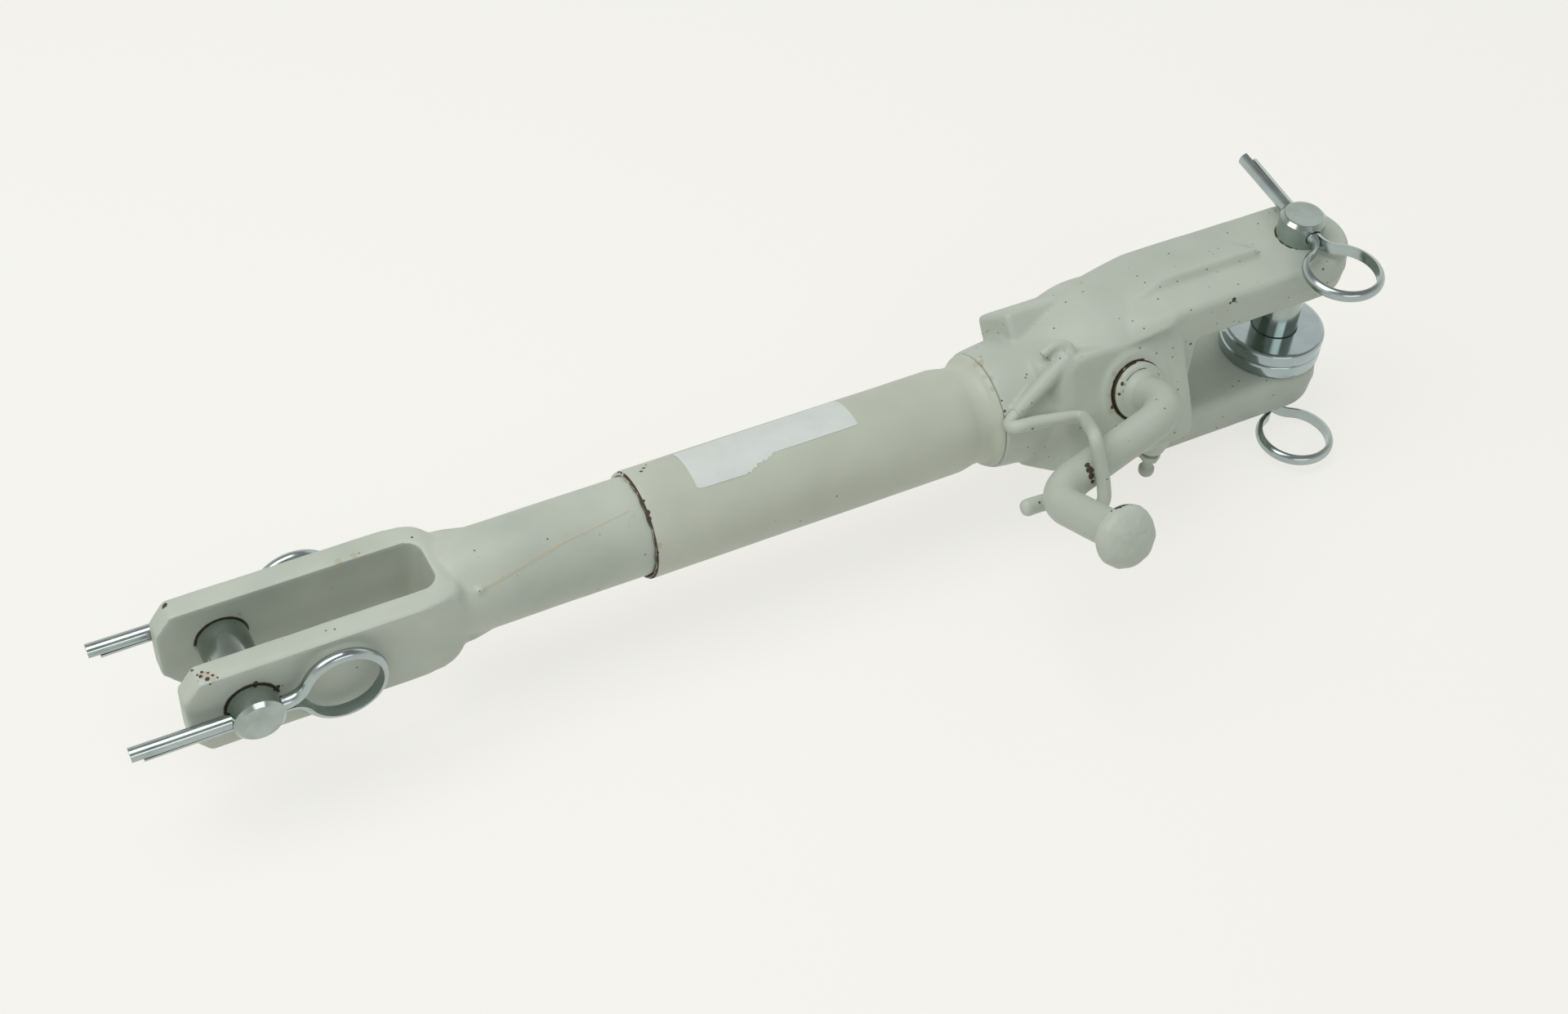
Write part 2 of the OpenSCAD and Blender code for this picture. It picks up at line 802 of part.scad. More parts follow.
module crank() {
    color(paint)
        at_crank()
            difference() {
                union() {
                    translate([0, 0, -rear_bush_end + 2])
                        cylinder(r = crank_r, h = rear_bush_end + collar_base);
                    translate([0, 0, collar_base])
                        turned([
                            [0, 0], [collar_r, 0], [collar_r, collar_top - collar_base - 1.2],
                            [collar_r - 1.2, collar_top - collar_base],
                            [bar_r + 1.6, collar_top - collar_base + 1],
                            [bar_r - 0.5, collar_top - collar_base + 4.5],
                            [0, collar_top - collar_base + 4.5]
                        ]);
                    sweep(bar_path, round_section(bar_r, bar_sides), [0, 1, 0]);
                }
                pinion_pin_hole();
            }
}

// domed end of the handle, riveted over the bar
module crank_knob() {
    r = knob_d / 2;
    color(paint)
        at_crank()
            translate(handle_start + [0, 0, handle_l])
                turned([
                    [0, 0], [bar_r, 0], [bar_r + 1.5, -0.6], [r - 1.6, -0.2], [r - 0.3, 1.8],
                    [r, 4], [r - 0.9, 6.6], [r - 3.2, 9.2], [r - 6.8, 11.2], [r - 11, 12.4], [0, 13]
                ]);
}

// latch

// the wire's course in the crank's frame: out of the tunnel, round the elbow,
// up beside the arm, over its outer side and back under the far bend
wire_course = [
    hinge_a, hinge_b + [4, 2.7, 0.4], hinge_b + [0.5, 0.4, 0], hinge_b + [-3.2, -1.7, 3],
    hinge_b + [-1.5, -1, 9], [-64, 1.2, face_h], [-50, 0.4, face_h + 4.4],
    [-38.5, -1.5, face_h + 5.4], [-39, -2, face_h + 11.4], [-47, 1.5, arm_h - bar_r],
    [-54, 4.5, over_arm - 9], [-58, 5, over_arm - 0.7], [-57.5, -6, over_arm],
    [-56.5, -20, over_arm], [-57.5, -31, over_arm - 0.2], [-59.5, -35, over_arm - 7],
    [-60.5, -36, under_arm + 8], [-68, -32.5, under_arm + 2.5],
    [-79, -31, under_arm + 1.5], [-91, -31, under_arm + 2]
];

module latch_wire() {
    color(paint)
        at_crank()
            sweep(smooth(wire_course, 2), round_section(wire_r, 10), [0, 0, 1]);
}

// lower fork

// head outline seen along the lower pin, tips rounded
module head_side(shrink) {
    for (s = [-1, 1])
        translate([-pin_distance - fork_tip + tip_round, s * (fork_h / 2 - tip_round)])
            circle(r = tip_round - shrink, $fn = 32);
}

module fork_head() {
    hull() {
        rotate([90, 0, 0]) {
            linear_extrude(fork_w - 2 * fork_edge * 0.4, center = true)
                head_side(fork_edge * 0.4);
            linear_extrude(fork_w - 2 * fork_edge, center = true)
                head_side(0);
            linear_extrude(fork_w, center = true)
                head_side(fork_edge);
        }
        for (y = [-1, 1], z = [-1, 1])
            translate([-pin_distance + fork_depth - head_run,
                       y * (fork_w / 2 - fork_edge * 1.3), z * (fork_h / 2 - fork_edge * 1.3)])
                sphere(r = fork_edge * 1.3, $fn = soft_fn);
        translate([-shoulder_x - 6, 0, 0])
            rotate([0, 90, 0])
                cylinder(r1 = shank_r - 0.6, r2 = shank_r - 2, h = 6, $fn = 48);
    }
}

// slot with round bottom corners, seen along the tines' height
module slot_outline() {
    difference() {
        translate([-pin_distance - fork_tip - 10, -fork_slot / 2])
            square([fork_tip + 10 + fork_depth, fork_slot]);
        for (s = [-1, 1])
            difference() {
                translate([-pin_distance + fork_depth - slot_round,
                           s > 0 ? fork_slot / 2 - slot_round : -fork_slot / 2 - 1])
                    square([slot_round + 1, slot_round + 1]);
                translate([-pin_distance + fork_depth - slot_round, s * (fork_slot / 2 - slot_round)])
                    circle(r = slot_round);
            }
    }
}

module nut_pin_place(r, inner, outer) {
    translate([-nut_end + nut_l / 2, 0, 0])
        rotate([180 + nut_pin_turn, 0, 0])
            translate([0, 0, inner])
                cylinder(r = r, h = outer - inner, $fn = 32);
}

module lower_fork() {
    color(paint)
        difference() {
            union() {
                fork_head();
                down_rod(shank_end)
                    turned([
                        [0, 0], [shank_r - 1.5, 0], [shank_r, 1.5],
                        [shank_r, shoulder_x - shank_end + 4], [0, shoulder_x - shank_end + 4]
                    ]);
            }
            linear_extrude(2 * fork_h, center = true)
                slot_outline();
            translate([-pin_distance, 0, 0])
                rotate([90, 0, 0])
                    cylinder(r = lower_r + slip, h = 2 * fork_w, center = true);
            down_rod(shank_end - 1)
                cylinder(r = nut_r + seat, h = nut_l + 1);
            down_rod(nut_end - 1)
                cylinder(r = screw_r + 3, h = shank_bore_end - nut_end + 1);
            nut_pin_place(nut_pin_r, nut_r - 3, shank_r + 2);
        }
}

// bronze nut that the screw runs in
module fork_nut() {
    color(bronze)
        difference() {
            down_rod(shank_end)
                ring(nut_r, screw_r + slip, nut_l);
            nut_pin_place(nut_pin_r, nut_r - 3, shank_r + 2);
        }
}

module nut_pin() {
    color(steel)
        nut_pin_place(nut_pin_r - seat, nut_r - 2.9, shank_r - 0.8);
}

// pins, washers and cotters

module clevis_pin(r, l, hole) {
    difference() {
        turned([
            [0, -l / 2], [r - pin_chamfer, -l / 2], [r, -l / 2 + pin_chamfer],
            [r, l / 2 - pin_chamfer], [r - pin_chamfer, l / 2], [0, l / 2]
        ]);
        for (s = [-1, 1])
            translate([0, 0, s * hole])
                rotate([90, 0, 0])
                    cylinder(r = cotter_hole_r, h = 4 * r, center = true, $fn = 32);
    }
}

module upper_pin() {
    color(zinc)
        rotate([0, 0, -cotter_turn])
            clevis_pin(upper_r, upper_pin_l, upper_cotter_z);
}

module lower_pin() {
    color(zinc)
        translate([-pin_distance, lower_pin_y, 0])
            rotate([90, 0, 0])
                rotate([0, 0, 90])
                    clevis_pin(lower_r, lower_pin_l, lower_cotter_y);
}

module spacer_washer(z) {
    translate([0, 0, z])
        difference() {
            turned([
                [0, 0], [washer_d / 2 - 0.6, 0], [washer_d / 2, 0.6],
                [washer_d / 2, washer_t - 0.6], [washer_d / 2 - 0.6, washer_t], [0, washer_t]
            ]);
            translate([0, 0, -1])
                cylinder(r = upper_r + slip, h = washer_t + 2);
        }
}

module spacer_washer_base() {
    color(zinc)
        spacer_washer(-ear_in);
}

module spacer_washer_top() {
    color(zinc)
        spacer_washer(-ear_in + washer_t);
}

// course of a split cotter's flat side: one leg, the ring and back along the
// other leg, with the ring centred at x = -ring_centre
bend_rise = leg_gap + neck_bend_r;
bend_run = sqrt(pow(ring_flat_r + neck_bend_r, 2) - bend_rise * bend_rise);
bend_x = -ring_centre + bend_run;
bend_turn = atan2(bend_run, bend_rise);
half_course = concat(
    [for (q = [0 : 4])
        let (w = -90 - bend_turn * q / 4)
        [bend_x + neck_bend_r * cos(w), bend_rise + neck_bend_r * sin(w), 0]],
    [for (q = [1 : 12])
        let (w = (90 - bend_turn) + (180 - (90 - bend_turn)) * q / 12)
        [-ring_centre + ring_flat_r * cos(w), ring_flat_r * sin(w), 0]]
);
cotter_course = concat(
    [[leg_long, leg_gap, 0]],
    half_course,
    [for (i = [len(half_course) - 2 : -1 : 0]) [half_course[i][0], -half_course[i][1], 0]],
    [[leg_short, -leg_gap, 0]]
);

module split_cotter() {
    sweep(cotter_course, half_section(cotter_r, 7), [0, 1, 0]);
}

module at_upper_cotter(z) {
    translate([0, 0, z])
        rotate([0, 0, 90 - cotter_turn])
            children();
}

module top_cotter() {
    color(zinc)
        at_upper_cotter(upper_cotter_z)
            split_cotter();
}

module under_cotter() {
    color(zinc)
        at_upper_cotter(-upper_cotter_z)
            split_cotter();
}

module at_lower_cotter(y) {
    translate([-pin_distance, y, 0])
        rotate([90, 0, 180])
            children();
}

module front_cotter() {
    color(zinc)
        at_lower_cotter(lower_pin_y - lower_cotter_y)
            split_cotter();
}

module rear_cotter() {
    color(zinc)
        at_lower_cotter(lower_pin_y + lower_cotter_y)
            split_cotter();
}

upper_fork();
housing_plug();
sleeve();
grease_nipple();
pinion_bush();
rear_bush();
spindle_bush();
fixed_race();
ball_cage();
thrust_balls();
turning_race();
screw_spindle();
spindle_gear();
spindle_nut();
spindle_key();
crank();
crank_knob();
bevel_pinion();
pinion_pin();
crank_washer();
latch_wire();
lower_fork();
fork_nut();
nut_pin();
upper_pin();
spacer_washer_top();
spacer_washer_base();
top_cotter();
under_cotter();
lower_pin();
front_cotter();
rear_cotter();
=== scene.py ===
"""Dressed model of a three-point linkage lift rod: a painted forging with bevel gears, a tube, a sliding
fork, a levelling crank with its wire latch, and zinc-plated pins. Lengths in the formulas are millimetres."""
import math

import bpy
import bmesh
import numpy as np
from mathutils import Matrix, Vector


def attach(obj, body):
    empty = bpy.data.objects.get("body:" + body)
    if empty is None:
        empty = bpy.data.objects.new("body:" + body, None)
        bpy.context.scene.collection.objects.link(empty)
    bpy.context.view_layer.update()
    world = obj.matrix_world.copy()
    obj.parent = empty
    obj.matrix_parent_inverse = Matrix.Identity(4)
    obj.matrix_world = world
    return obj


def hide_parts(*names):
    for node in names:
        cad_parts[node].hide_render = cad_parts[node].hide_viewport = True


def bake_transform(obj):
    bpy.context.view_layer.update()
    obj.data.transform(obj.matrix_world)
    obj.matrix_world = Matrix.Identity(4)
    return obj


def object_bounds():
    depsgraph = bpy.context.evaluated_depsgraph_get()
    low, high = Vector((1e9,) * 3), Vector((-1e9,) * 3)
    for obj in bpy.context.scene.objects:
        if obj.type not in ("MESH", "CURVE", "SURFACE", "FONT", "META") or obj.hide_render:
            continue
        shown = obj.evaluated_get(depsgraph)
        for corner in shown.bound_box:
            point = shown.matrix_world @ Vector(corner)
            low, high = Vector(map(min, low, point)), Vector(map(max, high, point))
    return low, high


bl_info = {
    "name": "Tractor lift rod",
    "version": (1, 0, 0),
    "blender": (4, 5, 0),
    "location": "3D View > Sidebar > Lift rod",
    "description": "Builds the painted, plated and machined pieces of a tractor's lift rod",
    "category": "Object",
}

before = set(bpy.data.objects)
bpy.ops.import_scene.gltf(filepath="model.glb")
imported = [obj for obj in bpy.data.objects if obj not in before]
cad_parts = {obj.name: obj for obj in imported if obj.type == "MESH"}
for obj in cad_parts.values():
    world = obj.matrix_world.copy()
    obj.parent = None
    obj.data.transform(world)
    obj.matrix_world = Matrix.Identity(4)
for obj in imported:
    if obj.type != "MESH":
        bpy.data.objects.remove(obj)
cad_box = [list(corner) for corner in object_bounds()]

MM = 0.001
LOWER_X = -600.0                 # lower pin, from the upper pin
LOWER_PIN_Y = -1.0
CRANK_X = -123.5
CRANK_TILT = math.radians(27.2)
FACE = 42.65                     # machined face, along the crank's axis
ARM_H = 79.0                     # crank's arm over the rod's middle line
ARM_L = 84.7
ARM_ANGLE = math.radians(196.4)
ARM = np.array([math.cos(ARM_ANGLE), math.sin(ARM_ANGLE), 0])
HANDLE_L = 65.0
BAR_R = 9.5
WIRE_R = 3.5
LATCH_STEP = 1.2                 # stations along the latch wire
# ends of the latch wire's seat in the housing, in the crank's frame
HINGE = np.array([-36, 26.2, 36.8])
ELBOW = np.array([-71, 2.2, 32.8])
EAR_IN, EAR_OUT = 27.0, 53.0     # upper fork's ears, from the middle plane
EAR_DRAFT = math.tan(math.radians(5))
GAP_END = -87.0
BULGE_R = 50.5                   # housing over the gears
NIPPLE_TURN = math.radians(46.9)
NIPPLE_FOOT = [-103.0, -math.sin(NIPPLE_TURN) * BULGE_R, -math.cos(NIPPLE_TURN) * BULGE_R + 4.0]
NECK_END = 196.5                 # down the rod, as the tube's mouth is given too
MOUTH = 395.0
TUBE_R, TUBE_BORE = 28.0, 25.8
SPIGOT_R = 25.7                  # part of the housing inside the tube
SHANK_R = 25.5
SHANK_END = -296.0
TINE_IN, TINE_OUT, TINE_H = 15.5, 28.0, 24.0    # lower fork's faces and half height
PIN_R = 12.5
PIN_HOLE = 12.6
PIN_TURN = math.radians(5)       # upper cotters, from square to the rod
UPPER_HALF, LOWER_HALF = 67.4, 39.8      # half lengths of the pins
UPPER_CROSS, LOWER_CROSS = 60.6, 33.4    # cotters' holes, from each pin's middle
ALL_ROUND = (0, 0, 0)            # side vector of a ring mark that keeps to no side


# geometry helpers

def unit(v):
    v = np.asarray(v, float)
    return v / np.linalg.norm(v, axis=-1, keepdims=True)


def circle(n, start=0.0):
    """n directions on a unit circle: (cos t, sin t), t evenly spaced."""
    t = start + np.arange(n) * 2 * math.pi / n
    return np.stack([np.cos(t), np.sin(t)], -1)


def soften(points, times=2, closed=False):
    """Cuts the corners of a polyline: each span keeps its points at 1/4 and 3/4, an open line its ends."""
    p = np.asarray(points, float)
    for _ in range(times):
        a, b = (p, np.roll(p, -1, 0)) if closed else (p[:-1], p[1:])
        cut = np.stack([a * 0.75 + b * 0.25, a * 0.25 + b * 0.75], 1).reshape(-1, p.shape[1])
        p = cut if closed else np.vstack([p[:1], cut[1:-1], p[-1:]])
    return p


def resample(points, step):
    """Points at even distances along a polyline, found by linear steps over its length."""
    p = np.asarray(points, float)
    run = np.concatenate([[0], np.cumsum(np.linalg.norm(np.diff(p, axis=0), axis=1))])
    at = np.linspace(0, run[-1], max(3, int(run[-1] / step) + 1))
    return np.stack([np.interp(at, run, p[:, k]) for k in range(p.shape[1])], -1)


def skin(grid, caps=(True, True), loop=False):
    """Faces of a grid of points, rows by columns, closed round its columns. A cap joins an end row to its
    middle point, and loop joins the last row to the first. Gives points, quads and triangles."""
    rows, cols = grid.shape[:2]
    r = np.arange(rows if loop else rows - 1)[:, None]
    c = np.arange(cols)[None, :]
    nr, nc = (r + 1) % rows, (c + 1) % cols
    quads = np.stack([r * cols + c, r * cols + nc, nr * cols + nc, nr * cols + c], -1).reshape(-1, 4)
    points, tris = [grid.reshape(-1, 3)], []
    for row, on in ((0, caps[0]), (rows - 1, caps[1])):
        if on and not loop:
            ring = row * cols + np.arange(cols)
            middle = np.full(cols, rows * cols + len(tris))
            turn = (np.roll(ring, -1), ring) if row == 0 else (ring, np.roll(ring, -1))
            tris.append(np.stack([*turn, middle], -1))
            points.append(grid[row].mean(0, keepdims=True))
    return np.vstack(points), quads, np.vstack(tris) if tris else np.zeros((0, 3), int)


def polar(r, h):
    """Rows of points round local Z: (r cos t, r sin t, h), with r by row and column and h by row."""
    grid = np.empty((*r.shape, 3))
    grid[..., :2] = r[..., None] * circle(r.shape[1])
    grid[..., 2] = np.asarray(h)[:, None]
    return grid


def turned(profile, cols):
    """Rows of points of a profile of (height, radius) pairs turned round local Z."""
    p = np.asarray(profile, float)
    return polar(np.repeat(p[:, 1:2], cols, 1), p[:, 0])


def revolve(profile, matrix, cols=96, loop=False):
    """Closed surface of a profile turned round the matrix's Z."""
    return move(skin(turned(profile, cols), loop=loop), matrix)


def along(path, section, side):
    """A section carried along a path: path point + u * side + v * (direction x side), where side is carried
    from station to station by taking out its part along the direction."""
    p = np.asarray(path, float)
    d = unit(np.gradient(p, axis=0))
    n = np.empty_like(p)
    last = np.asarray(side, float)
    for k in range(len(p)):
        last = unit(last - (last @ d[k]) * d[k])
        n[k] = last
    w = np.cross(d, n)
    s = np.broadcast_to(section, (len(p),) + np.shape(section)[-2:])
    return p[:, None] + s[..., 0:1] * n[:, None] + s[..., 1:2] * w[:, None]


def swept(path, section, side, matrix):
    """Closed surface of a section carried along a path, in the matrix's frame."""
    return move(skin(along(path, section, side)), matrix)


def rounded_box(half_a, half_b, power, cols=96):
    """Superellipse: a point at angle t is (a sign(cos t) |cos t|^(2/n), b sign(sin t) |sin t|^(2/n))."""
    c = circle(cols, math.pi / cols)
    e = np.sign(c) * np.abs(c) ** (2.0 / power)
    return e * [half_a, half_b]


def move(part, matrix):
    """The part's points through a 4 by 4 matrix."""
    points = part[0] @ np.asarray(matrix)[:3, :3].T + np.asarray(matrix)[:3, 3]
    return (points,) + part[1:]


def frame_at(origin, x_axis, y_axis, z_axis):
    """4 by 4 matrix whose columns are the three axes and the origin."""
    m = np.eye(4)
    m[:3, :4] = np.stack([x_axis, y_axis, z_axis, origin], -1)
    return m


# local Z runs towards -X, as the rod's own length does
DOWN_ROD = frame_at([0, 0, 0], [0, 0, 1], [0, 1, 0], [-1, 0, 0])
# local X along the rod, local Z out along the crank's axis
CRANK = frame_at([CRANK_X, 0, 0], [1, 0, 0], [0, math.sin(CRANK_TILT), math.cos(CRANK_TILT)],
                 [0, -math.cos(CRANK_TILT), math.sin(CRANK_TILT)])
CRANK_SIDE, CRANK_AXIS = CRANK[:3, 1], CRANK[:3, 2]


def crank_point(p):
    """A point of the crank's frame in the rod's frame."""
    return np.asarray(p, float) @ CRANK[:3, :3].T + CRANK[:3, 3]


def at(origin, z_axis, x_axis=(1, 0, 0)):
    """Frame with its Z along z_axis and its X as near x_axis as that allows."""
    z = unit(z_axis)
    x = unit(np.asarray(x_axis, float) - (np.asarray(x_axis, float) @ z) * z)
    return frame_at(origin, x, np.cross(z, x), z)


# mesh helpers

def solid(name, *parts):
    """An object made of closed surfaces, in metres, with merged poles and outward normals."""
    base, points, quads, tris = 0, [], [], []
    for p, q, t in parts:
        points.append(p)
        quads.append(q + base)
        tris.append(t + base)
        base += len(p)
    points, quads, tris = np.vstack(points) * MM, np.vstack(quads), np.vstack(tris)
    mesh = bpy.data.meshes.new(name)
    mesh.vertices.add(len(points))
    mesh.vertices.foreach_set("co", points.astype(np.float32).ravel())
    corners = np.concatenate([quads.ravel(), tris.ravel()])
    mesh.loops.add(len(corners))
    mesh.loops.foreach_set("vertex_index", corners.astype(np.int32))
    starts = np.concatenate([np.arange(len(quads)) * 4, len(quads) * 4 + np.arange(len(tris)) * 3])
    mesh.polygons.add(len(starts))
    mesh.polygons.foreach_set("loop_start", starts.astype(np.int32))
    mesh.update(calc_edges=True)
    work = bmesh.new()
    work.from_mesh(mesh)
    bmesh.ops.remove_doubles(work, verts=work.verts, dist=2e-6)
    bmesh.ops.dissolve_degenerate(work, edges=work.edges, dist=1e-7)
    bmesh.ops.recalc_face_normals(work, faces=work.faces)
    work.to_mesh(mesh)
    work.free()
    obj = bpy.data.objects.new(name, mesh)
    bpy.context.scene.collection.objects.link(obj)
    return obj


def settle(obj, *steps):
    """Applies modifiers, given as (type, settings), one after another."""
    for kind, settings in steps:
        mod = obj.modifiers.new(kind.title(), kind)
        for key, value in settings.items():
            setattr(mod, key, value)
        graph = bpy.context.evaluated_depsgraph_get()
        mesh = bpy.data.meshes.new_from_object(obj.evaluated_get(graph))
        old, obj.data = obj.data, mesh
        obj.modifiers.clear()
        bpy.data.meshes.remove(old)
    return obj


def cut(obj, *cutters):
    """Takes closed surfaces out of an object, one after another."""
    for k, part in enumerate(cutters):
        tool = solid(f"cutter_{k}", part)
        settle(obj, ("BOOLEAN", {"operation": "DIFFERENCE", "solver": "MANIFOLD", "object": tool}))
        mesh = tool.data
        bpy.data.objects.remove(tool)
        bpy.data.meshes.remove(mesh)
    return obj


def waves(obj, name, size, strength):
    """Moves a surface in and out by cloud noise, its lumps of the given size in millimetres."""
    tex = bpy.data.textures.new(name, "CLOUDS")
    tex.noise_scale = size * MM
    return settle(obj, ("DISPLACE", {"texture": tex, "strength": strength * MM, "mid_level": 0.5}))


def cast_skin(obj, voxel, relax, wave=0.5):
    """Joins overlapping surfaces into one skin, rounds every edge as paint over a rough forging does, and
    gives it slight waves."""
    settle(obj, ("REMESH", {"mode": "VOXEL", "voxel_size": voxel * MM}),
           ("SMOOTH", {"factor": 0.5, "iterations": relax}))
    return waves(obj, obj.name, 22.0, wave)


def finish(obj, material, body, nodes=(), angle=32.0):
    """Smooth shading with sharp edges past an angle, then the material and the body, and the CAD parts it
    stands for are hidden.
    """
    mesh = obj.data
    mesh.polygons.foreach_set("use_smooth", np.ones(len(mesh.polygons), bool))
    mesh.set_sharp_from_angle(angle=math.radians(angle))
    mesh.materials.clear()
    mesh.materials.append(material)
    if body:
        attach(obj, body)
    if nodes:
        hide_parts(*nodes)
    return obj


# materials

def hexa(text):
    """Linear colour of an sRGB hex value: c / 12.92 below 0.04045, else ((c + 0.055) / 1.055) ^ 2.4."""
    c = np.array([int(text[k:k + 2], 16) for k in (1, 3, 5)]) / 255.0
    low = c <= 0.04045
    return (*np.where(low, c / 12.92, ((c + 0.055) / 1.055) ** 2.4).tolist(), 1.0)


def add(tree, kind, inputs=None, **settings):
    """Adds a node. Settings are its properties, inputs its sockets by name or number, and an input that is
    another node's socket is linked."""
    node = tree.nodes.new(kind)
    for key, value in settings.items():
        setattr(node, key, value)
    for key, value in (inputs or {}).items():
        if isinstance(value, bpy.types.NodeSocket):
            tree.links.new(value, node.inputs[key])
        else:
            node.inputs[key].default_value = value
    return node


def emptied(owner):
    """The owner's node tree without nodes."""
    owner.use_nodes = True
    owner.node_tree.nodes.clear()
    return owner.node_tree


def new_material(name, **shader):
    """An empty material with one shader, whose constants are set on its own sockets."""
    mat = bpy.data.materials.new(name)
    tree = emptied(mat)
    bsdf = add(tree, "ShaderNodeBsdfPrincipled", {k.replace("_", " "): v for k, v in shader.items()})
    add(tree, "ShaderNodeOutputMaterial", {"Surface": bsdf.outputs[0]})
    where = add(tree, "ShaderNodeTexCoord").outputs["Object"]
    return mat, tree, bsdf, where


def dress(tree, bsdf, colour, rough, height, distance, strength):
    """Feeds a shader its colour, its roughness if that varies, and a bump whose height counts in units of
    a distance in millimetres."""
    bump = add(tree, "ShaderNodeBump", {"Height": height, "Distance": distance * MM, "Strength": strength})
    for name, value in (("Base Color", colour), ("Roughness", rough), ("Normal", bump.outputs[0])):
        if value is not None:
            tree.links.new(value, bsdf.inputs[name])


def math_node(tree, op, a, b=0.0, c=0.0, clamp=False):
    """A sum's result, held to 0 to 1 by clamp."""
    return add(tree, "ShaderNodeMath", {0: a, 1: b, 2: c}, operation=op, use_clamp=clamp).outputs[0]


def vector_node(tree, op, a, b=(0, 0, 0), scale=1.0):
    """A vector operation: gives a value for a distance, a length or a dot product, else a vector."""
    node = add(tree, "ShaderNodeVectorMath", {0: a, 1: b, 3: scale}, operation=op)
    return node.outputs["Value" if op in ("DISTANCE", "LENGTH", "DOT_PRODUCT") else "Vector"]


def noise(tree, where, size, detail=3.0, rough=0.55):
    """Noise with lumps of a real size in millimetres, as a value about 0.5."""
    return add(tree, "ShaderNodeTexNoise", {"Vector": where, "Scale": 1000.0 / size, "Detail": detail,
                                            "Roughness": rough}).outputs[0]


def blend(tree, share, a, b):
    """Colour a towards colour b by a share."""
    return add(tree, "ShaderNodeMix", {0: share, 6: a, 7: b}, data_type="RGBA").outputs[2]


def ramp(tree, value, low, high, start=0.0, end=1.0):
    """Straight ramp from start, where the value is low or under, to end, where it is high or over."""
    return add(tree, "ShaderNodeMapRange", {"Value": value, "From Min": low, "From Max": high,
                                            "To Min": start, "To Max": end}).outputs[0]


def step_down(tree, value, edge, soft):
    """1 below the edge and 0 above it, over a soft band."""
    return ramp(tree, value, edge - soft, edge + soft, 1.0, 0.0)


def largest(tree, masks):
    """Largest of several masks, None where there are none."""
    total = None
    for mask in masks:
        total = mask if total is None else math_node(tree, "MAXIMUM", total, mask)
    return total


def spot_mask(tree, where, ragged, spots):
    """Round marks, given by centre and radius in millimetres: 1 where the distance to the centre plus 1.7 r
    times ragged noise is under 1.7 r."""
    masks = []
    for x, y, z, r in spots:
        far = vector_node(tree, "DISTANCE", where, (x * MM, y * MM, z * MM))
        rough = math_node(tree, "MULTIPLY_ADD", ragged, r * 1.7 * MM, far)
        masks.append(step_down(tree, rough, r * 1.7 * MM, 0.12 * MM))
    return largest(tree, masks)


def line_mask(tree, where, ragged, lines):
    """Streaks, given by two ends and a radius: as a round mark, from the distance to the nearest point
    a + t (b - a) of the segment, t clamped to 0 to 1."""
    masks = []
    for a, b, r in lines:
        a, b = np.array(a) * MM, np.array(b) * MM
        off = vector_node(tree, "SUBTRACT", where, tuple(a))
        t = vector_node(tree, "DOT_PRODUCT", off, tuple((b - a) / ((b - a) @ (b - a))))
        foot = vector_node(tree, "SCALE", tuple(b - a), scale=math_node(tree, "ADD", t, 0.0, clamp=True))
        far = vector_node(tree, "DISTANCE", off, foot)
        rough = math_node(tree, "MULTIPLY_ADD", ragged, r * 2.2 * MM, far)
        masks.append(step_down(tree, rough, r * 2.0 * MM, r * 0.5 * MM))
    return largest(tree, masks)


def rim_mask(tree, where, ragged, rims):
    """Ring marks, given by centre, axis, radius, half width, half depth, a side vector and a level: 1 where
    the distance from the axis is near the radius, the height near the centre's, and the distance along the
    side vector plus 60 times broad noise about 0 is over the level, in millimetres."""
    masks = []
    patch = noise(tree, where, 16.0, 3.0, 0.6) if rims else None
    for centre, axis, radius, width, depth, side, level in rims:
        axis = tuple(unit(axis).tolist())
        off = vector_node(tree, "SUBTRACT", where, tuple(c * MM for c in centre))
        high = vector_node(tree, "DOT_PRODUCT", off, axis)
        out = vector_node(tree, "LENGTH", vector_node(tree, "CROSS_PRODUCT", off, axis))
        wide = math_node(tree, "ABSOLUTE", math_node(tree, "SUBTRACT", out, radius * MM))
        wide = math_node(tree, "MULTIPLY_ADD", ragged, width * 1.6 * MM, wide)
        mask = step_down(tree, wide, width * 1.6 * MM, 0.1 * MM)
        deep = step_down(tree, math_node(tree, "ABSOLUTE", high), depth * MM, 0.1 * MM)
        mask = math_node(tree, "MULTIPLY", mask, deep)
        along_side = vector_node(tree, "DOT_PRODUCT", off, tuple(float(c) for c in side))
        kept = math_node(tree, "MULTIPLY_ADD", patch, 60 * MM, along_side)
        broken = step_down(tree, kept, (level + 30) * MM, 0.8 * MM)
        masks.append(math_node(tree, "MULTIPLY", mask, math_node(tree, "SUBTRACT", 1.0, broken)))
    return largest(tree, masks)


def crank_marks(*marks):
    """Round marks given in the crank's frame, in the rod's frame."""
    return [(*crank_point(mark[:3]), mark[3]) for mark in marks]


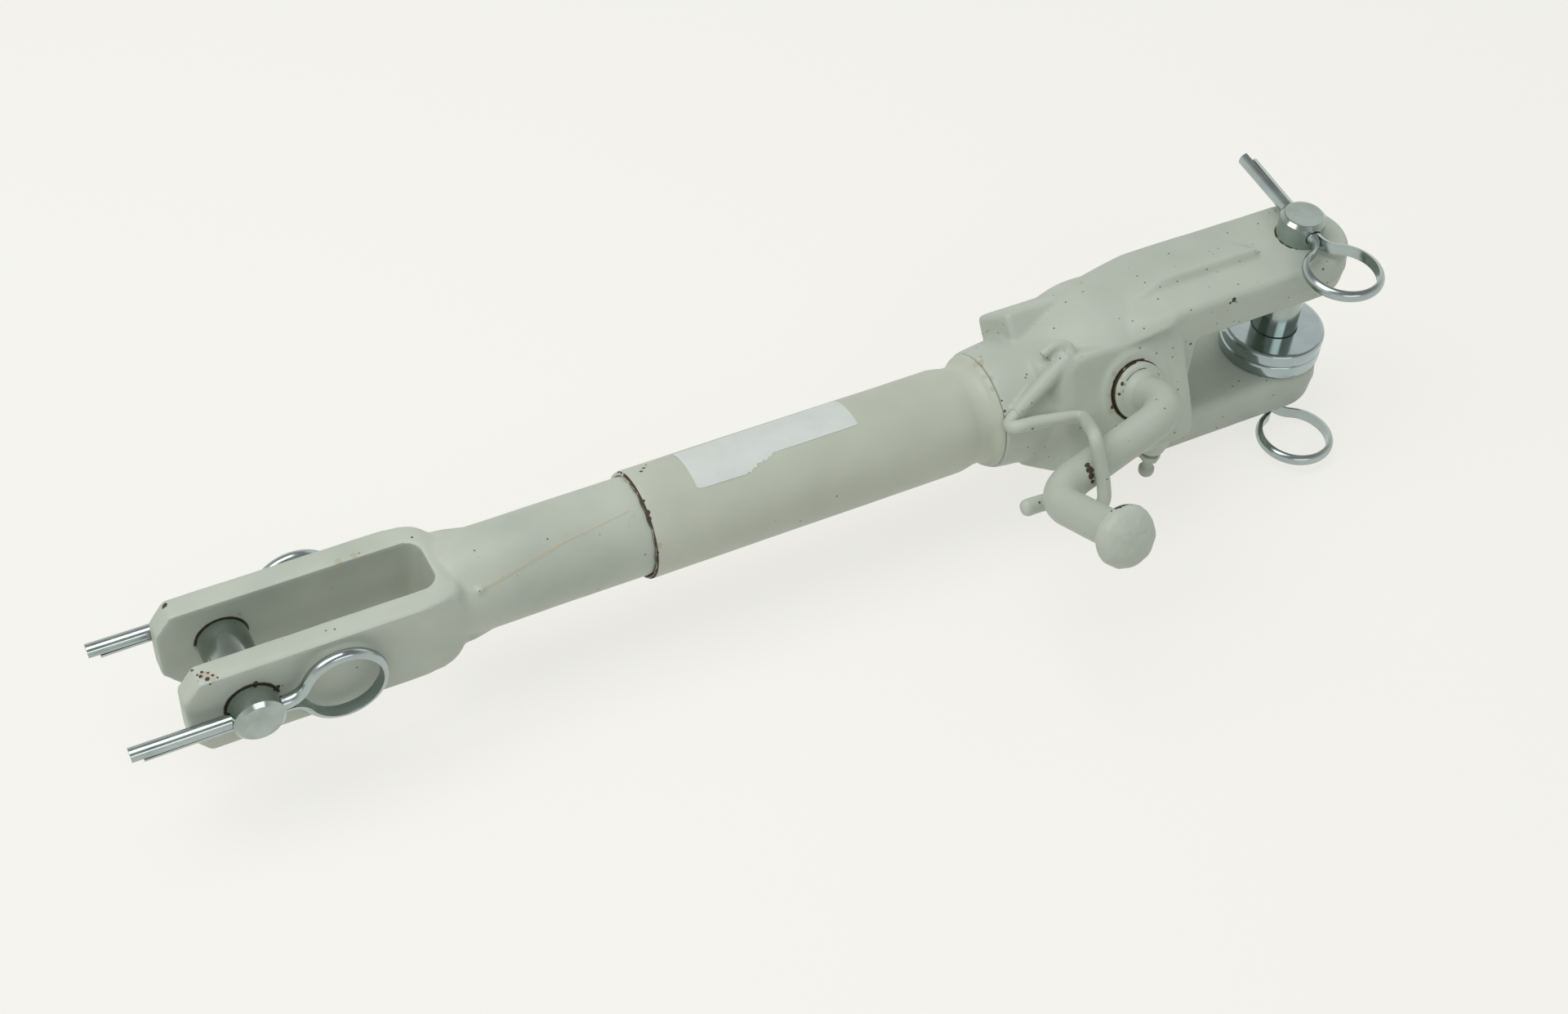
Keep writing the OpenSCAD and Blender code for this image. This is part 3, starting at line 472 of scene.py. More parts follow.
def enamel(context, name, base, pale, chips=(), rims=(), stains=(), lines=(), drops=(), speck=0.5):
    """Alkyd enamel sprayed thick over a rough steel forging: satin, with orange peel and runs, fine dark
    specks of grit, chips down to dark scale, and rust that bleeds out of joints."""
    mat, tree, bsdf, where = new_material(name, IOR=1.5)
    broad = noise(tree, where, 55.0, 2.0)
    cloud = noise(tree, where, 9.0, 4.0)
    ragged = noise(tree, where, 2.6, 4.0, 0.7)
    colour = blend(tree, ramp(tree, broad, 0.35, 0.65), hexa(base), hexa(pale))
    # dust lies in patches; high edges are painted lighter, partly as wear and partly as a painted highlight;
    # hollows are painted darker as painted shade
    edge = add(tree, "ShaderNodeNewGeometry").outputs["Pointiness"]
    for share, tint in ((ramp(tree, cloud, 0.3, 0.75, 0.0, 0.45), "#B7B9A8"),
                        # high edges: partly wear, partly painted highlight
                        (ramp(tree, edge, 0.52, 0.62, 0.0, 0.3), "#CDD3CA"),
                        # hollows: painted shade
                        (ramp(tree, edge, 0.49, 0.40, 0.0, 0.3), "#7E8A7F")):
        colour = blend(tree, share, colour, hexa(tint))
    # grit specks about 1 mm wide, one to a cell of 5 mm, in some cells only
    cells = add(tree, "ShaderNodeTexVoronoi", {"Vector": where, "Scale": 1000.0 / 5.0})
    near = step_down(tree, cells.outputs["Distance"], 0.1, 0.03)
    pick = add(tree, "ShaderNodeSeparateColor", {0: cells.outputs["Color"]}).outputs[0]
    grit = math_node(tree, "MULTIPLY", near, math_node(tree, "LESS_THAN", pick, speck))
    colour = blend(tree, math_node(tree, "MULTIPLY", grit, 0.8), colour, hexa("#3F443E"))
    if stains:
        rust = spot_mask(tree, where, ragged, stains)
        rust = math_node(tree, "MULTIPLY", rust, math_node(tree, "MULTIPLY", cloud, 0.75))
        colour = blend(tree, rust, colour, hexa("#A3946F"))
    flash = line_mask(tree, where, ragged, lines)
    if lines:
        colour = blend(tree, math_node(tree, "MULTIPLY", flash, 0.4), colour, hexa("#B4A98A"))
    # chips and bare rims go down to rusty scale, and grit shows it faintly
    bare = (math_node(tree, "MULTIPLY", grit, 0.4), spot_mask(tree, where, ragged, chips),
            rim_mask(tree, where, ragged, rims))
    gone = largest(tree, [mask for mask in bare if mask is not None])
    colour = blend(tree, gone, colour, blend(tree, cloud, hexa("#1E1F1C"), hexa("#54452F")))
    dull = math_node(tree, "MULTIPLY_ADD", gone, 0.25, ramp(tree, cloud, 0.0, 1.0, 0.40, 0.58))
    # the flash line and the paint drops stand out many times as high as the peel
    rise = math_node(tree, "MULTIPLY_ADD", noise(tree, where, 7.0, 3.0), 2.4, noise(tree, where, 1.8, 2.0))
    for mask, height in ((gone, -0.8), (flash, 5.0), (spot_mask(tree, where, ragged, drops), 9.0)):
        if mask is not None:
            rise = math_node(tree, "MULTIPLY_ADD", mask, height, rise)
    dress(tree, bsdf, colour, dull, rise, 0.12, context.scene.rod_sizes.peel)
    return mat


def zinc(name, colour, rough, grain, strength, grain_axis=None):
    """Bright blue-passivated zinc on steel: a soft mirror with a faint blue cast and cloudy patches, over
    the fine lines of turning or drawing, drawn coarser than they are so that they show. Across the grain's
    axis the lines are 25 times as long as they are wide."""
    mat, tree, bsdf, where = new_material(name, Metallic=1.0)
    cloud = noise(tree, where, 14.0, 4.0)
    tone = blend(tree, cloud, hexa(colour), hexa("#BAC5C3"))
    haze = ramp(tree, cloud, 0.3, 0.7, rough * 0.7, rough * 1.4)
    stretch = tuple(1.0 if grain_axis in (k, None) else 0.04 for k in range(3))
    lines = add(tree, "ShaderNodeMapping", {"Vector": where, "Scale": stretch}).outputs[0]
    dress(tree, bsdf, tone, haze, noise(tree, lines, grain, 2.0), 0.03, strength)
    return mat


def machined(name, colour, rough, dark="#4A4A48"):
    """Turned or ground steel, or cast bronze, with an oil film that gathers in darker patches."""
    mat, tree, bsdf, where = new_material(name, Metallic=1.0)
    film = ramp(tree, noise(tree, where, 6.0, 4.0), 0.4, 0.8, 0.0, 0.6)
    dress(tree, bsdf, blend(tree, film, hexa(colour), hexa(dark)),
          math_node(tree, "MULTIPLY_ADD", film, 0.2, rough), noise(tree, where, 0.7, 2.0), 0.02, 0.4)
    return mat


def label_paper():
    """Coated white label paper, handled: faintly soiled, matt, with shallow wrinkles."""
    mat, tree, bsdf, where = new_material("coated_label_paper", IOR=1.46, Roughness=0.5)
    tone = blend(tree, noise(tree, where, 12.0, 5.0), hexa("#D6DBD6"), hexa("#C3CAC4"))
    dress(tree, bsdf, tone, None, noise(tree, where, 5.0, 3.0), 0.15, 0.3)
    return mat


# shapes

def ear_surface(side):
    """One ear: a stack of outlines along Z. Each outline lies at distance r from the line between the pin
    and a point inside the housing, and r falls off by quarter circles at both edges and by a draft of 5
    degrees on each side of the parting line at mid-thickness."""
    out_edge, in_edge, half, middle = 3.4, 5.5, 28.4, (EAR_IN + EAR_OUT) / 2
    q = np.linspace(0, math.pi / 2, 7)
    low = EAR_IN + in_edge * (1 - np.cos(q))
    high = EAR_OUT - out_edge * (1 - np.cos(q))
    z = np.concatenate([low, [middle - 0.9, middle, middle + 0.9], high[::-1]])
    inset = np.concatenate([in_edge * (1 - np.sin(q)), [0.1, -0.35, 0.1], out_edge * (1 - np.sin(q[::-1]))])
    # the parting line stands out a little where the halves of the die met
    r = half - inset - np.abs(z - middle) * EAR_DRAFT
    # extra rows close the two faces towards the middle line
    z = np.concatenate([[z[0]], z, [z[-1]]])
    r = np.concatenate([[0.01], r, [0.01]])
    q = np.linspace(-math.pi / 2, math.pi / 2, 61)[:, None]
    # half a circle round the pin, and straight sides back into the housing
    ring = np.vstack([np.hstack([np.cos(q), np.sin(q)]), [[0, 1], [0, 1], [0, -1], [0, -1]]])
    base = np.zeros_like(ring)
    base[-4:, 0] = [-50, -98, -98, -50]
    grid = np.empty((len(z), len(ring), 3))
    grid[..., :2] = base + r[:, None, None] * ring
    grid[..., 2] = side * z[:, None]
    return skin(grid)


def throat_surface():
    """The block behind the gap. Its sections run from a disc of radius 45.5 to a block of 56.8 by 106 whose
    corners are round by 3.2: flat half lengths t (25.2, 49.8) plus a corner of radius 45.5 (1 - t) + 3.2 t.
    Near the gap every point moves towards the pin by c - sqrt(c^2 - (|z| - z0)^2), the round corner c."""
    x = np.concatenate([[-150.0], np.linspace(-138.5, -96.5, 24), np.linspace(-95, GAP_END, 5)])
    t = np.clip((x + 137) / 40.5, 0, 1)[:, None]
    cols, closing = 128, 12
    round_r, edge_r, flat_y, flat_z = 45.5, 3.2, 25.2, 49.8
    ring = circle(cols, math.pi / cols)
    corner = round_r * (1 - t) + edge_r * t
    n = len(x)
    grid = np.empty((n + closing, cols, 3))
    grid[:n, :, 0] = x[:, None]
    grid[:n, :, 1] = np.sign(ring[:, 0]) * flat_y * t + corner * ring[:, 0]
    grid[:n, :, 2] = np.sign(ring[:, 1]) * flat_z * t + corner * ring[:, 1]
    # the ears' draft runs out into the block
    draft = np.abs(np.abs(grid[:n, :, 2]) - 40) * EAR_DRAFT * t ** 2
    grid[:n, :, 1] -= np.sign(grid[:n, :, 1]) * np.clip(draft, 0, 1.2)
    grid[0, :, 1:] *= 0.93
    shrink = np.linspace(1, 0.01, closing + 1)[1:]
    grid[n:] = grid[n - 1]
    grid[n:, :, 1:] *= shrink[:, None, None]    # closes the end towards its middle
    corner = 7.0
    over = np.clip(np.abs(grid[..., 2]) - (EAR_IN - corner), 0, corner)
    near = np.clip((grid[..., 0] - (GAP_END - 8)) / 8, 0, 1)
    grid[..., 0] += near * (corner - np.sqrt(corner ** 2 - over ** 2))
    return skin(grid)


def bulge_surface():
    """Neck and gear bulge: a smoothed profile of (distance down the rod, radius) turned round the rod."""
    profile = [[86, 0], [92, 20], [95, 38], [99, 45], [106, 49.5], [116, BULGE_R], [128, 50], [140, 46.8],
               [152, 42], [163, 36.5], [172, 34.2], [184, 33], [192, 32.2], [196.4, 31.6], [NECK_END, 0]]
    return revolve(np.vstack([soften(profile[:-1], 2), profile[-1:]]), DOWN_ROD, 144)


def stack_box(rows, power, matrix, cols=96):
    """A box of superellipse outlines stacked along local Z. A row is its height, then the outline's lowest
    and highest x and its lowest and highest y."""
    grid = np.zeros((len(rows), cols, 3))
    for k, (h, x0, x1, y0, y1) in enumerate(rows):
        grid[k, :, :2] = rounded_box((x1 - x0) / 2, (y1 - y0) / 2, power, cols)
        grid[k] += [(x0 + x1) / 2, (y0 + y1) / 2, h]
    return move(skin(grid), matrix)


def down_to_face(part):
    """Cuts a surface flat in the plane of the machined face: in the crank's frame a point's height is at most
    FACE - 0.1 + max(0, b - 24), so past the face's upper edge the cut rises towards the ear."""
    local = (part[0] - CRANK[:3, 3]) @ CRANK[:3, :3]
    local[:, 2] = np.minimum(local[:, 2], FACE - 0.1 + np.clip(local[:, 1] - 24, 0, None))
    return move((local,) + part[1:], CRANK)


def disc(radius, low, high, matrix, cols=96):
    """A plain cylinder between two heights, used to bore or fill."""
    return revolve([[low, 0], [low, radius], [high, radius], [high, 0]], matrix, cols)


def upper_parts():
    """Closed surfaces that overlap to make the upper forging."""
    parts = [down_to_face(bulge_surface()), down_to_face(throat_surface()), ear_surface(1), ear_surface(-1)]
    # rib on each ear: it rises out of the housing over 34, keeps its height and ends bluntly
    x = np.concatenate([np.linspace(-120, -33, 60), [-31.6, -31]])
    ground = EAR_OUT - 0.185 * np.clip(-96 - x, 0, None)
    rise = 4.2 * np.clip((x + 119) / 34, 0, 1) ** 0.9
    rise[-2:] -= [0.7, 2.0]
    near = np.interp(x, [-120, -90, -31], [-9.4, -6.3, -6.2])
    far = np.interp(x, [-120, -100, -46, -40, -35, -31], [10, 15, 15.5, 13.5, 9.5, 3.5])
    # its section is highest by the near edge and falls to almost nothing at the far one
    foot, low = np.full(len(x), 44.0), ground - 0.1
    flank = ground + rise * 0.06
    across = np.stack([near, near - 0.8, near + 0.9, near + 2.8, far - 1.6, far - 0.4, far + 0.5, far], -1)
    height = np.stack([foot, low, ground + rise * 0.55, ground + rise, flank, flank, low, foot], -1)
    for side in (1, -1):
        parts.append(skin(np.stack([np.broadcast_to(x[:, None], across.shape), across, height * side], -1)))
    # block under the machined face, whose left flank slopes, and the raised ring round the bore
    parts.append(stack_box([(8, -58, 33.6, -37, 28), (28, -51, 33.6, -37, 28.4),
                            (FACE - 3, -42.6, 33.4, -36.6, 27.8), (FACE - 1, -40, 32.9, -36, 27),
                            (FACE, -37, 31.8, -34.6, 25)], 9.0, CRANK))
    parts.append(revolve([[30, 0], [30, 22], [FACE + 0.4, 21.6], [FACE + 1.1, 20.2], [FACE + 1.1, 0]], CRANK))
    # ridge over the latch's hinge, with a curl at its upper end
    a, b = np.array([-36, 26.2, 36.6]), np.array([-71, 2.2, 32.6])
    ridge = np.linspace(a + (a - b) * 0.04, b + (a - b) * 0.1, 24)
    thick = np.linspace(4.8, 4.2, 24)[:, None, None]
    curl = soften([a, a + [4, 2.5, -0.8], a + [3, 6.5, -3.0], a + [-4, 8, -4.2], a + [-11, 4, -5.0]], 3)
    for course, section in ((ridge, circle(24) * thick), (curl, circle(20) * 3.0)):
        parts.append(swept(course, section, (0, 0, 1), CRANK))
    # square lug on the far side
    turn = math.radians(47.8)
    lug = frame_at([-150.25, 0, 0], [1, 0, 0], [0, -math.sin(turn), math.cos(turn)],
                   [0, math.cos(turn), math.sin(turn)])
    rows = [(h, -a, a, -b, b) for h, a, b in
            ((20, 24, 17.6), (43, 23.4, 17), (44.8, 22.8, 16.4), (45.5, 21.2, 14.8))]
    parts.append(stack_box(rows, 16.0, lug))
    # boss of the grease nipple, and the spigot inside the tube
    parts.append(revolve([[-12, 0], [-12, 10], [-4, 8.6], [0.6, 7.4], [3.2, 6.6], [3.6, 0]],
                         at(NIPPLE_FOOT, (0, 0, -1)), 48))
    parts.append(revolve([[150, 0], [150, SPIGOT_R], [201.5, SPIGOT_R], [204, 24.1], [211, 24.1],
                          [214, SPIGOT_R], [216, SPIGOT_R], [216, 0]], DOWN_ROD))
    return parts


def make_upper(context):
    """Upper forging: its overlapping surfaces in one skin, with every bore cut out of it."""
    sizes = context.scene.rod_sizes
    obj = cast_skin(solid("upper_forging", *upper_parts()), sizes.voxel, sizes.relax)
    seat = at(crank_point(ELBOW), crank_point(HINGE) - crank_point(ELBOW))
    # bores for the gears, the spindle and its bush, and for the crank's two bushes
    chamber_r, passage_r, bush_r, front_r, rear_r = 26, 15, 18.04, 16, 11
    cut(obj,
        disc(PIN_HOLE, -60, 60, np.eye(4)),
        disc(chamber_r, 86, 155, DOWN_ROD), disc(passage_r, 150, 240, DOWN_ROD),
        disc(bush_r, 170, 240, DOWN_ROD),
        disc(front_r, 26, 60, CRANK), disc(rear_r, -39, -25, CRANK),
        # the latch's seat, and the hollow by which the wire leaves it
        disc(WIRE_R + 0.1, -3, 43, seat, 48),
        revolve([[0, 0], [0.5, 3.5], [3, 6.1], [6.1, 0]],
                at(crank_point(ELBOW + [-2, -1.2, -1]), CRANK_AXIS), 40))
    mat = enamel(
        context, "enamel_over_forging", sizes.paint_hex, "#B7BFB3",
        chips=[(-61.2, -27.6, 50.5, 1.6), (-63.5, -27.6, 49.5, 1.0), (-14, 27, 53, 0.8), (-3, -27, 51, 0.7),
               *crank_marks((-37, 22, 41, 1.1), (-69, 4, 37, 1.3), (-66, 7, 38, 0.9), (-16.6, -4, FACE, 1.8),
                            (-15.8, 1, FACE, 1.2), (-15, -16, FACE, 1.0)),
               (-196, -20, 24.5, 0.8), (-196, -24, 20.5, 1.0), (-196, -27.5, 15.5, 0.8), (-196, -29, 11, 0.8),
               (-84, -27.5, 28, 0.9), (-92, -27, 38, 0.7)],
        rims=[((0, 0, EAR_OUT), (0, 0, 1), 12.7, 0.45, 1.2, ALL_ROUND, 2),
              ((0, 0, -EAR_OUT), (0, 0, 1), 12.7, 0.45, 1.2, ALL_ROUND, 2),
              (crank_point([0, 0, FACE + 0.6]), CRANK_AXIS, 16.1, 0.8, 1.8,
               CRANK_SIDE * 0.5 - CRANK[:3, 0], 2),
              ((-NECK_END, 0, 0), (1, 0, 0), 31.2, 0.3, 0.6, (0, 0, 1), 35)],
        stains=[*crank_marks((-17, -6, FACE, 2.6), (-18, 2, FACE, 1.8), (-13, 13, FACE, 2.0)),
                (-195.5, 3, 31, 2.2), (-195.5, -8, 30, 1.8)],
        speck=0.42)
    return finish(obj, mat, "housing", ["upper_fork"])


def lower_head():
    """Head of the lower fork: superellipse sections along the rod. The half height falls along a straight
    chamfer at the tips, and behind the slot both halves fall by quarter ellipses, down to the shank."""
    end, chamfer, side_from, top_from, back = -630, 8.5, -519, -506, -490
    x = np.concatenate([np.linspace(end, -620, 12), np.linspace(-616, -522, 24),
                        np.linspace(side_from, back - 0.2, 24)])
    tip = np.clip((end + chamfer - x) / chamfer, 0, 1)
    side, top = (np.clip((x - start) / (back - start), 0, 1) for start in (side_from, top_from))
    high = TINE_H - 11 * tip - 8 * (1 - np.sqrt(1 - top ** 2))
    wide = TINE_OUT - 0.8 * tip ** 3 - 9.5 * (1 - np.sqrt(1 - side ** 2))
    power = 4 + 36 * (1 - side ** 2) ** 2
    grid = np.empty((len(x), 160, 3))
    for k in range(len(x)):
        grid[k, :, 0] = x[k]
        grid[k, :, 1:] = rounded_box(wide[k], high[k], power[k], 160)
    return skin(grid)


def make_lower(context):
    """Lower forging: head, shank, webs and a paint drop in one skin, then the slot and the bores."""
    sizes = context.scene.rod_sizes
    shank = revolve([[-SHANK_END, 0], [-SHANK_END, 24], [-SHANK_END + 1.5, SHANK_R], [474, SHANK_R],
                     [482, SHANK_R - 0.1], [488, SHANK_R - 0.4], [494, SHANK_R - 1.0], [504, 18], [505, 0]],
                    DOWN_ROD, 128)
    # a drop of paint beside the head; the rest of the shank slides in the tube and stays smooth
    y, z, r = -20.6, 15.0, 2.1
    ball = np.linspace(-math.pi / 2, math.pi / 2, 9)
    parts = [lower_head(), shank,
             revolve(np.stack([r * np.sin(ball), r * np.cos(ball)], -1), at((-484.5, y, z), (0, y, z)), 16)]
    # webs that lead three of the head's corners into the shank
    for sy, sz in ((1, 1), (1, -1), (-1, -1)):
        web = np.array([[-502, 16.6, 16.4], [-489, 16.4, 16.2], [-477, 14.6, 14.6]]) * [1, sy, sz]
        parts.append(swept(resample(web, 1.5), circle(20) * 5.0, (0, sz, -sy), np.eye(4)))
    obj = solid("lower_forging", *parts)
    settle(obj, ("REMESH", {"mode": "VOXEL", "voxel_size": 1.2 * MM}))
    # slot between the tines: an outline in plan with both corners round, cut from top to bottom
    arc = np.linspace(0, 1.5708, 9)[1:-1]
    bottom, mouth, corner = -502, -650, 8
    x, y = bottom - corner, TINE_IN - corner
    outline = np.vstack([
        [[mouth, -TINE_IN], [x, -TINE_IN]], [x, -y] + corner * np.stack([np.sin(arc), -np.cos(arc)], -1),
        [[bottom, -y], [bottom, y]], [x, y] + corner * np.stack([np.cos(arc), np.sin(arc)], -1),
        [[x, TINE_IN], [mouth, TINE_IN]]])
    grid = np.empty((2, len(outline), 3))
    grid[..., :2] = outline
    grid[..., 2] = [[-40], [40]]
    cut(obj, skin(grid))
    cast_skin(obj, sizes.voxel, max(1, sizes.relax - 2), 0.4)
    # pin's holes, the nut's seat and the room for the screw
    nut_r, room_r = 20.04, 17
    cut(obj, disc(PIN_HOLE, -40, 40, at((LOWER_X, 0, 0), (0, 1, 0))),
        disc(nut_r, 290, 336, DOWN_ROD), disc(room_r, 330, 474, DOWN_ROD))
    mat = enamel(
        context, "enamel_over_lower_forging", "#A9B2A6", "#B9C0B4",
        chips=[(-621, 24.5, 23, 1.6), (-619.5, -23, 23.8, 1.1), (-617.5, -25.5, 23.4, 1.3),
               (-614.5, -24.5, 23.9, 0.8), (-621.5, -17.5, 22.6, 1.2), (-620.6, -21.3, 23.5, 0.7),
               (-618.3, -20.9, 24, 1.0), (-616, -22.4, 24, 0.8), (-621, -24.5, 22.8, 0.9),
               (-613, -26.5, 23.4, 0.6), (-617, -27.3, 22.3, 0.7), (-619.2, -27.2, 22, 0.6),
               (-556, -22, 24, 0.6), (-560, -21, 24, 0.5), (-597, -28, 13.2, 1.5),
               (-587.4, -28, 5.2, 1.6), (-612, -28, 4.5, 1.1), (-503, 17, 24, 0.8)],
        rims=[((LOWER_X, y, 0), (0, 1, 0), 12.9, wide, deep, (0, 0, 1), level) for y, wide, deep, level in
              ((-TINE_OUT, 0.8, 1.6, 0), (TINE_OUT, 0.6, 1.4, 0), (TINE_IN, 0.6, 1.4, -4),
               (-TINE_IN, 0.6, 1.4, 0))],
        stains=[(-618, -23.5, 24, 3.4), (-615, -26, 23.6, 2.4), (-540, 17, 24, 2.2), (-532, 17.5, 24, 2.0)],
        lines=[((-484, -21, 15), (-441, -14.4, 21.4), 1.0), ((-441, -14.4, 21.4), (-402, -10.2, 23.7), 0.6)],
        drops=[(-399.5, -9.2, 23.8, 2.6), (-401.5, -12, 22.5, 1.9), (-436.5, -13, 21.9, 1.8)],
        speck=0.12)
    return finish(obj, mat, "fork", ["lower_fork"])


def make_sleeve(context):
    """Tube with its end crimped round the forging: a closed wall profile turned round the rod."""
    sizes = context.scene.rod_sizes
    crimp = soften([[196.8, 30.6], [198.6, 30.2], [201.0, 27.4], [204.2, 26.4], [209.0, 26.3], [212.2, 27.2],
                    [217.5, TUBE_R]], 3)
    straight = resample([[222, TUBE_R], [393.6, TUBE_R]], 4.0)
    inner = [[394.5, 27.8], [MOUTH, 27.2], [MOUTH, 26.1], [394.2, TUBE_BORE], [213.1, TUBE_BORE],
             [210.0, 24.2], [203.0, 24.2], [200.0, TUBE_BORE], [197.0, TUBE_BORE], [196.8, 26.4]]
    grid = turned(np.vstack([crimp, straight, inner]), 144)
    # a slightly torn mouth: the end wanders by a fraction of a millimetre round the tube
    turn = np.arctan2(grid[..., 1], grid[..., 0])
    wander = 0.45 * np.sin(5 * turn + 0.7) * np.sin(2 * turn) + 0.25 * np.sin(17 * turn + 1.3)
    grid[..., 2] += np.clip((grid[..., 2] - 390) / 5, 0, 1) * wander
    obj = solid("tube", move(skin(grid, loop=True), DOWN_ROD))
    waves(obj, "tube_waves", 35.0, 0.25)
    mat = enamel(
        context, "enamel_over_drawn_tube", sizes.tube_hex, "#BBC1B2",
        chips=[(-386.5, 9, 26.5, 1.0), (-384, 11.5, 25.6, 1.2), (-381.5, 14, 24.3, 0.7),
               (-393.8, -9.5, 26.4, 0.8), (-394.4, -15, 23.7, 1.6), (-394.6, -17.5, 21.8, 1.3),
               (-394.2, -27, 6.8, 0.9)],
        rims=[((-MOUTH, 0, 0), (1, 0, 0), 27.8, 0.8, 1.1, (0, -0.6, 0.5), 4),
              ((-MOUTH, 0, 0), (1, 0, 0), 26.2, 0.9, 3, (0, -1, 0), -4)],
        stains=[(-198, 4, 30.2, 2.2), (-198, -6, 30, 1.8), (-198, -13, 27.6, 1.6), (-393, -26, 10, 2.0)],
        speck=0.03)
    return finish(obj, mat, "housing", ["sleeve"], 40.0)


def make_label(context):
    """Blank label stuck to the tube with one corner torn away. A point is (x, -r sin a, r cos a) with a
    measured from the top, between a far edge and a near edge given along x, for its two faces' radii r."""
    mouth_end, torn_end = -366.0, -273.5
    x = np.linspace(mouth_end, torn_end, 150)
    far = np.interp(x, [mouth_end, torn_end], [-34.5, -37.5])
    wave = 0.9 * np.sin(x * 1.9) + 0.7 * np.sin(x * 3.3 + 1) + 0.5 * np.sin(x * 5.1)
    near = np.interp(x, [mouth_end, -363.5, -340, -336, -331, -326, -321, -300, torn_end],
                     [24.5, 26.5, 27.5, 26.0, 20.5, 19.5, 14.5, 14.6, 14.4])
    near += wave * np.interp(x, [-342, -338, -321, -318], [0, 1, 1, 0])
    turn = np.radians(far[:, None] + (near - far)[:, None] * np.linspace(0, 1, 48))
    top, under = (np.stack([np.broadcast_to(x[:, None], turn.shape), -r * np.sin(turn), r * np.cos(turn)], -1)
                  for r in (TUBE_R + 0.22, TUBE_R + 0.06))
    # the two faces run round as one closed loop of columns
    obj = solid("label", skin(np.concatenate([top, under[:, ::-1]], 1)))
    return finish(obj, label_paper(), "housing")


def bar_path():
    """Crank bar: straight out of the collar, a quarter circle towards the arm, the arm, and a second quarter
    circle outwards into the handle."""
    bend, q = 19.5, np.linspace(0, math.pi / 2, 16)[:, None]
    up = np.array([0, 0, 1.0])
    tip = ARM_L * ARM + [0, 0, ARM_H]
    first = [0, 0, ARM_H - bend] + bend * (1 - np.cos(q)) * ARM + bend * np.sin(q) * up
    second = tip - bend * ARM + bend * np.sin(q) * ARM + bend * (1 - np.cos(q)) * up
    path = np.vstack([[[0, 0, FACE + 1]], first, second, [tip + up * HANDLE_L]])
    return resample(path, 1.6)


def make_crank(context):
    """Crank: a round section carried along the bar's course, and a turned collar, in one skin."""
    path = bar_path()
    run = np.linspace(0, 1, len(path))
    # the bar is upset a little at its bends
    grow = 1 + 0.035 * np.exp(-((run - 0.16) / 0.06) ** 2) + 0.03 * np.exp(-((run - 0.62) / 0.05) ** 2)
    section = circle(40)[None] * (BAR_R * grow)[:, None, None]
    collar = revolve([[-38, 0], [-38, 8], [38.3, 8], [38.3, 15.4], [46.8, 15.4], [47.6, 15.0], [48.0, 14.0],
                      [48.3, 12.4], [49.2, 11.2], [51.5, 9.9], [52.5, 9.0], [52.5, 0]], CRANK, 72)
    obj = solid("crank_bar", collar, swept(path, section, (0, 1, 0), CRANK))
    cast_skin(obj, 0.95, 3, 0.35)
    mat = enamel(
        context, "enamel_over_forged_bar", "#A8B2A5", "#B5BDB1",
        chips=crank_marks((-14, 3, 48, 1.0), (-11.5, 8, 48, 1.2), (-60.7, -11, 86.2, 1.8),
                          (-60.5, -13.5, 87.5, 2.2), (-60.5, -16.5, 88.2, 2.0), (-60.2, -19.5, 88.1, 1.3)),
        rims=[(crank_point([0, 0, 48.6]), CRANK_AXIS, 12.6, 0.25, 0.6, ALL_ROUND, 0),
              (crank_point([0, 0, 43.5]), CRANK_AXIS, 15.5, 0.6, 2.2, -CRANK[:3, 0], 2)],
        stains=crank_marks((-15, 4, 46, 1.6), (-11, 11, 46, 1.6)), speck=0.18)
    return finish(obj, mat, "crank", ["crank"])


def make_knob(context):
    """Domed end of the handle: a profile turned round the handle, hammered a little uneven."""
    foot = crank_point(ARM_L * ARM + [0, 0, ARM_H + HANDLE_L])
    dome = soften([[0, 9.4], [-0.4, 11.4], [0.1, 14.2], [1.9, 15.7], [4.4, 16.0], [7.2, 15.2], [9.8, 12.8],
                   [11.7, 9.0], [12.7, 4.6], [13.0, 0.0]], 3)
    obj = solid("handle_end", revolve(np.vstack([[[0, 0]], dome]), at(foot, CRANK_AXIS)))
    waves(obj, "hammered", 6.5, 1.1)
    # a torn line of chips round the dome's widest part
    torn, r, h = np.radians([62, 70, 78, 86, 94, 102, 110]), 15.7, 3.6
    spots = foot + np.stack([r * np.cos(torn), r * np.sin(torn), np.full(len(torn), h)], -1) @ CRANK[:3, :3].T
    mat = enamel(
        context, "enamel_over_handle_end", "#AEB7AB", "#BAC1B6",
        chips=[(*spot, size) for spot, size in zip(spots.tolist(), (0.8, 1.2, 1.5, 1.3, 1.6, 1.2, 0.8))],
        rims=[(foot, CRANK_AXIS, 9.9, 0.5, 1.2, ALL_ROUND, -4)], speck=0.12)
    return finish(obj, mat, "crank", ["crank_knob"], 50.0)


def latch_path():
    """Course of the spring wire in the crank's frame: hinge, elbow, beside the arm, over it and back under
    the far bend. Its corners are cut three times."""
    b = ELBOW
    course = [HINGE, b + [4, 2.7, 0.4], b + [0.5, 0.4, 0], b + [-3.2, -1.7, 3], b + [-1.5, -1, 9],
              [-64, 1.2, 42.65], [-50, 0.4, 47.05], [-38.5, -1.5, 48.05], [-39, -2, 54.05], [-47, 1.5, 69.5],
              [-54, 4.5, 84.2], [-58, 5, 92.5], [-57.5, -6, 93.2], [-56.5, -20, 93.2], [-57.5, -31, 93.0],
              [-59.5, -35, 86.2], [-60.5, -36, 74.0], [-68, -32.5, 68.5], [-79, -31, 67.5], [-91, -31, 68]]
    return resample(soften(course, 3), LATCH_STEP)


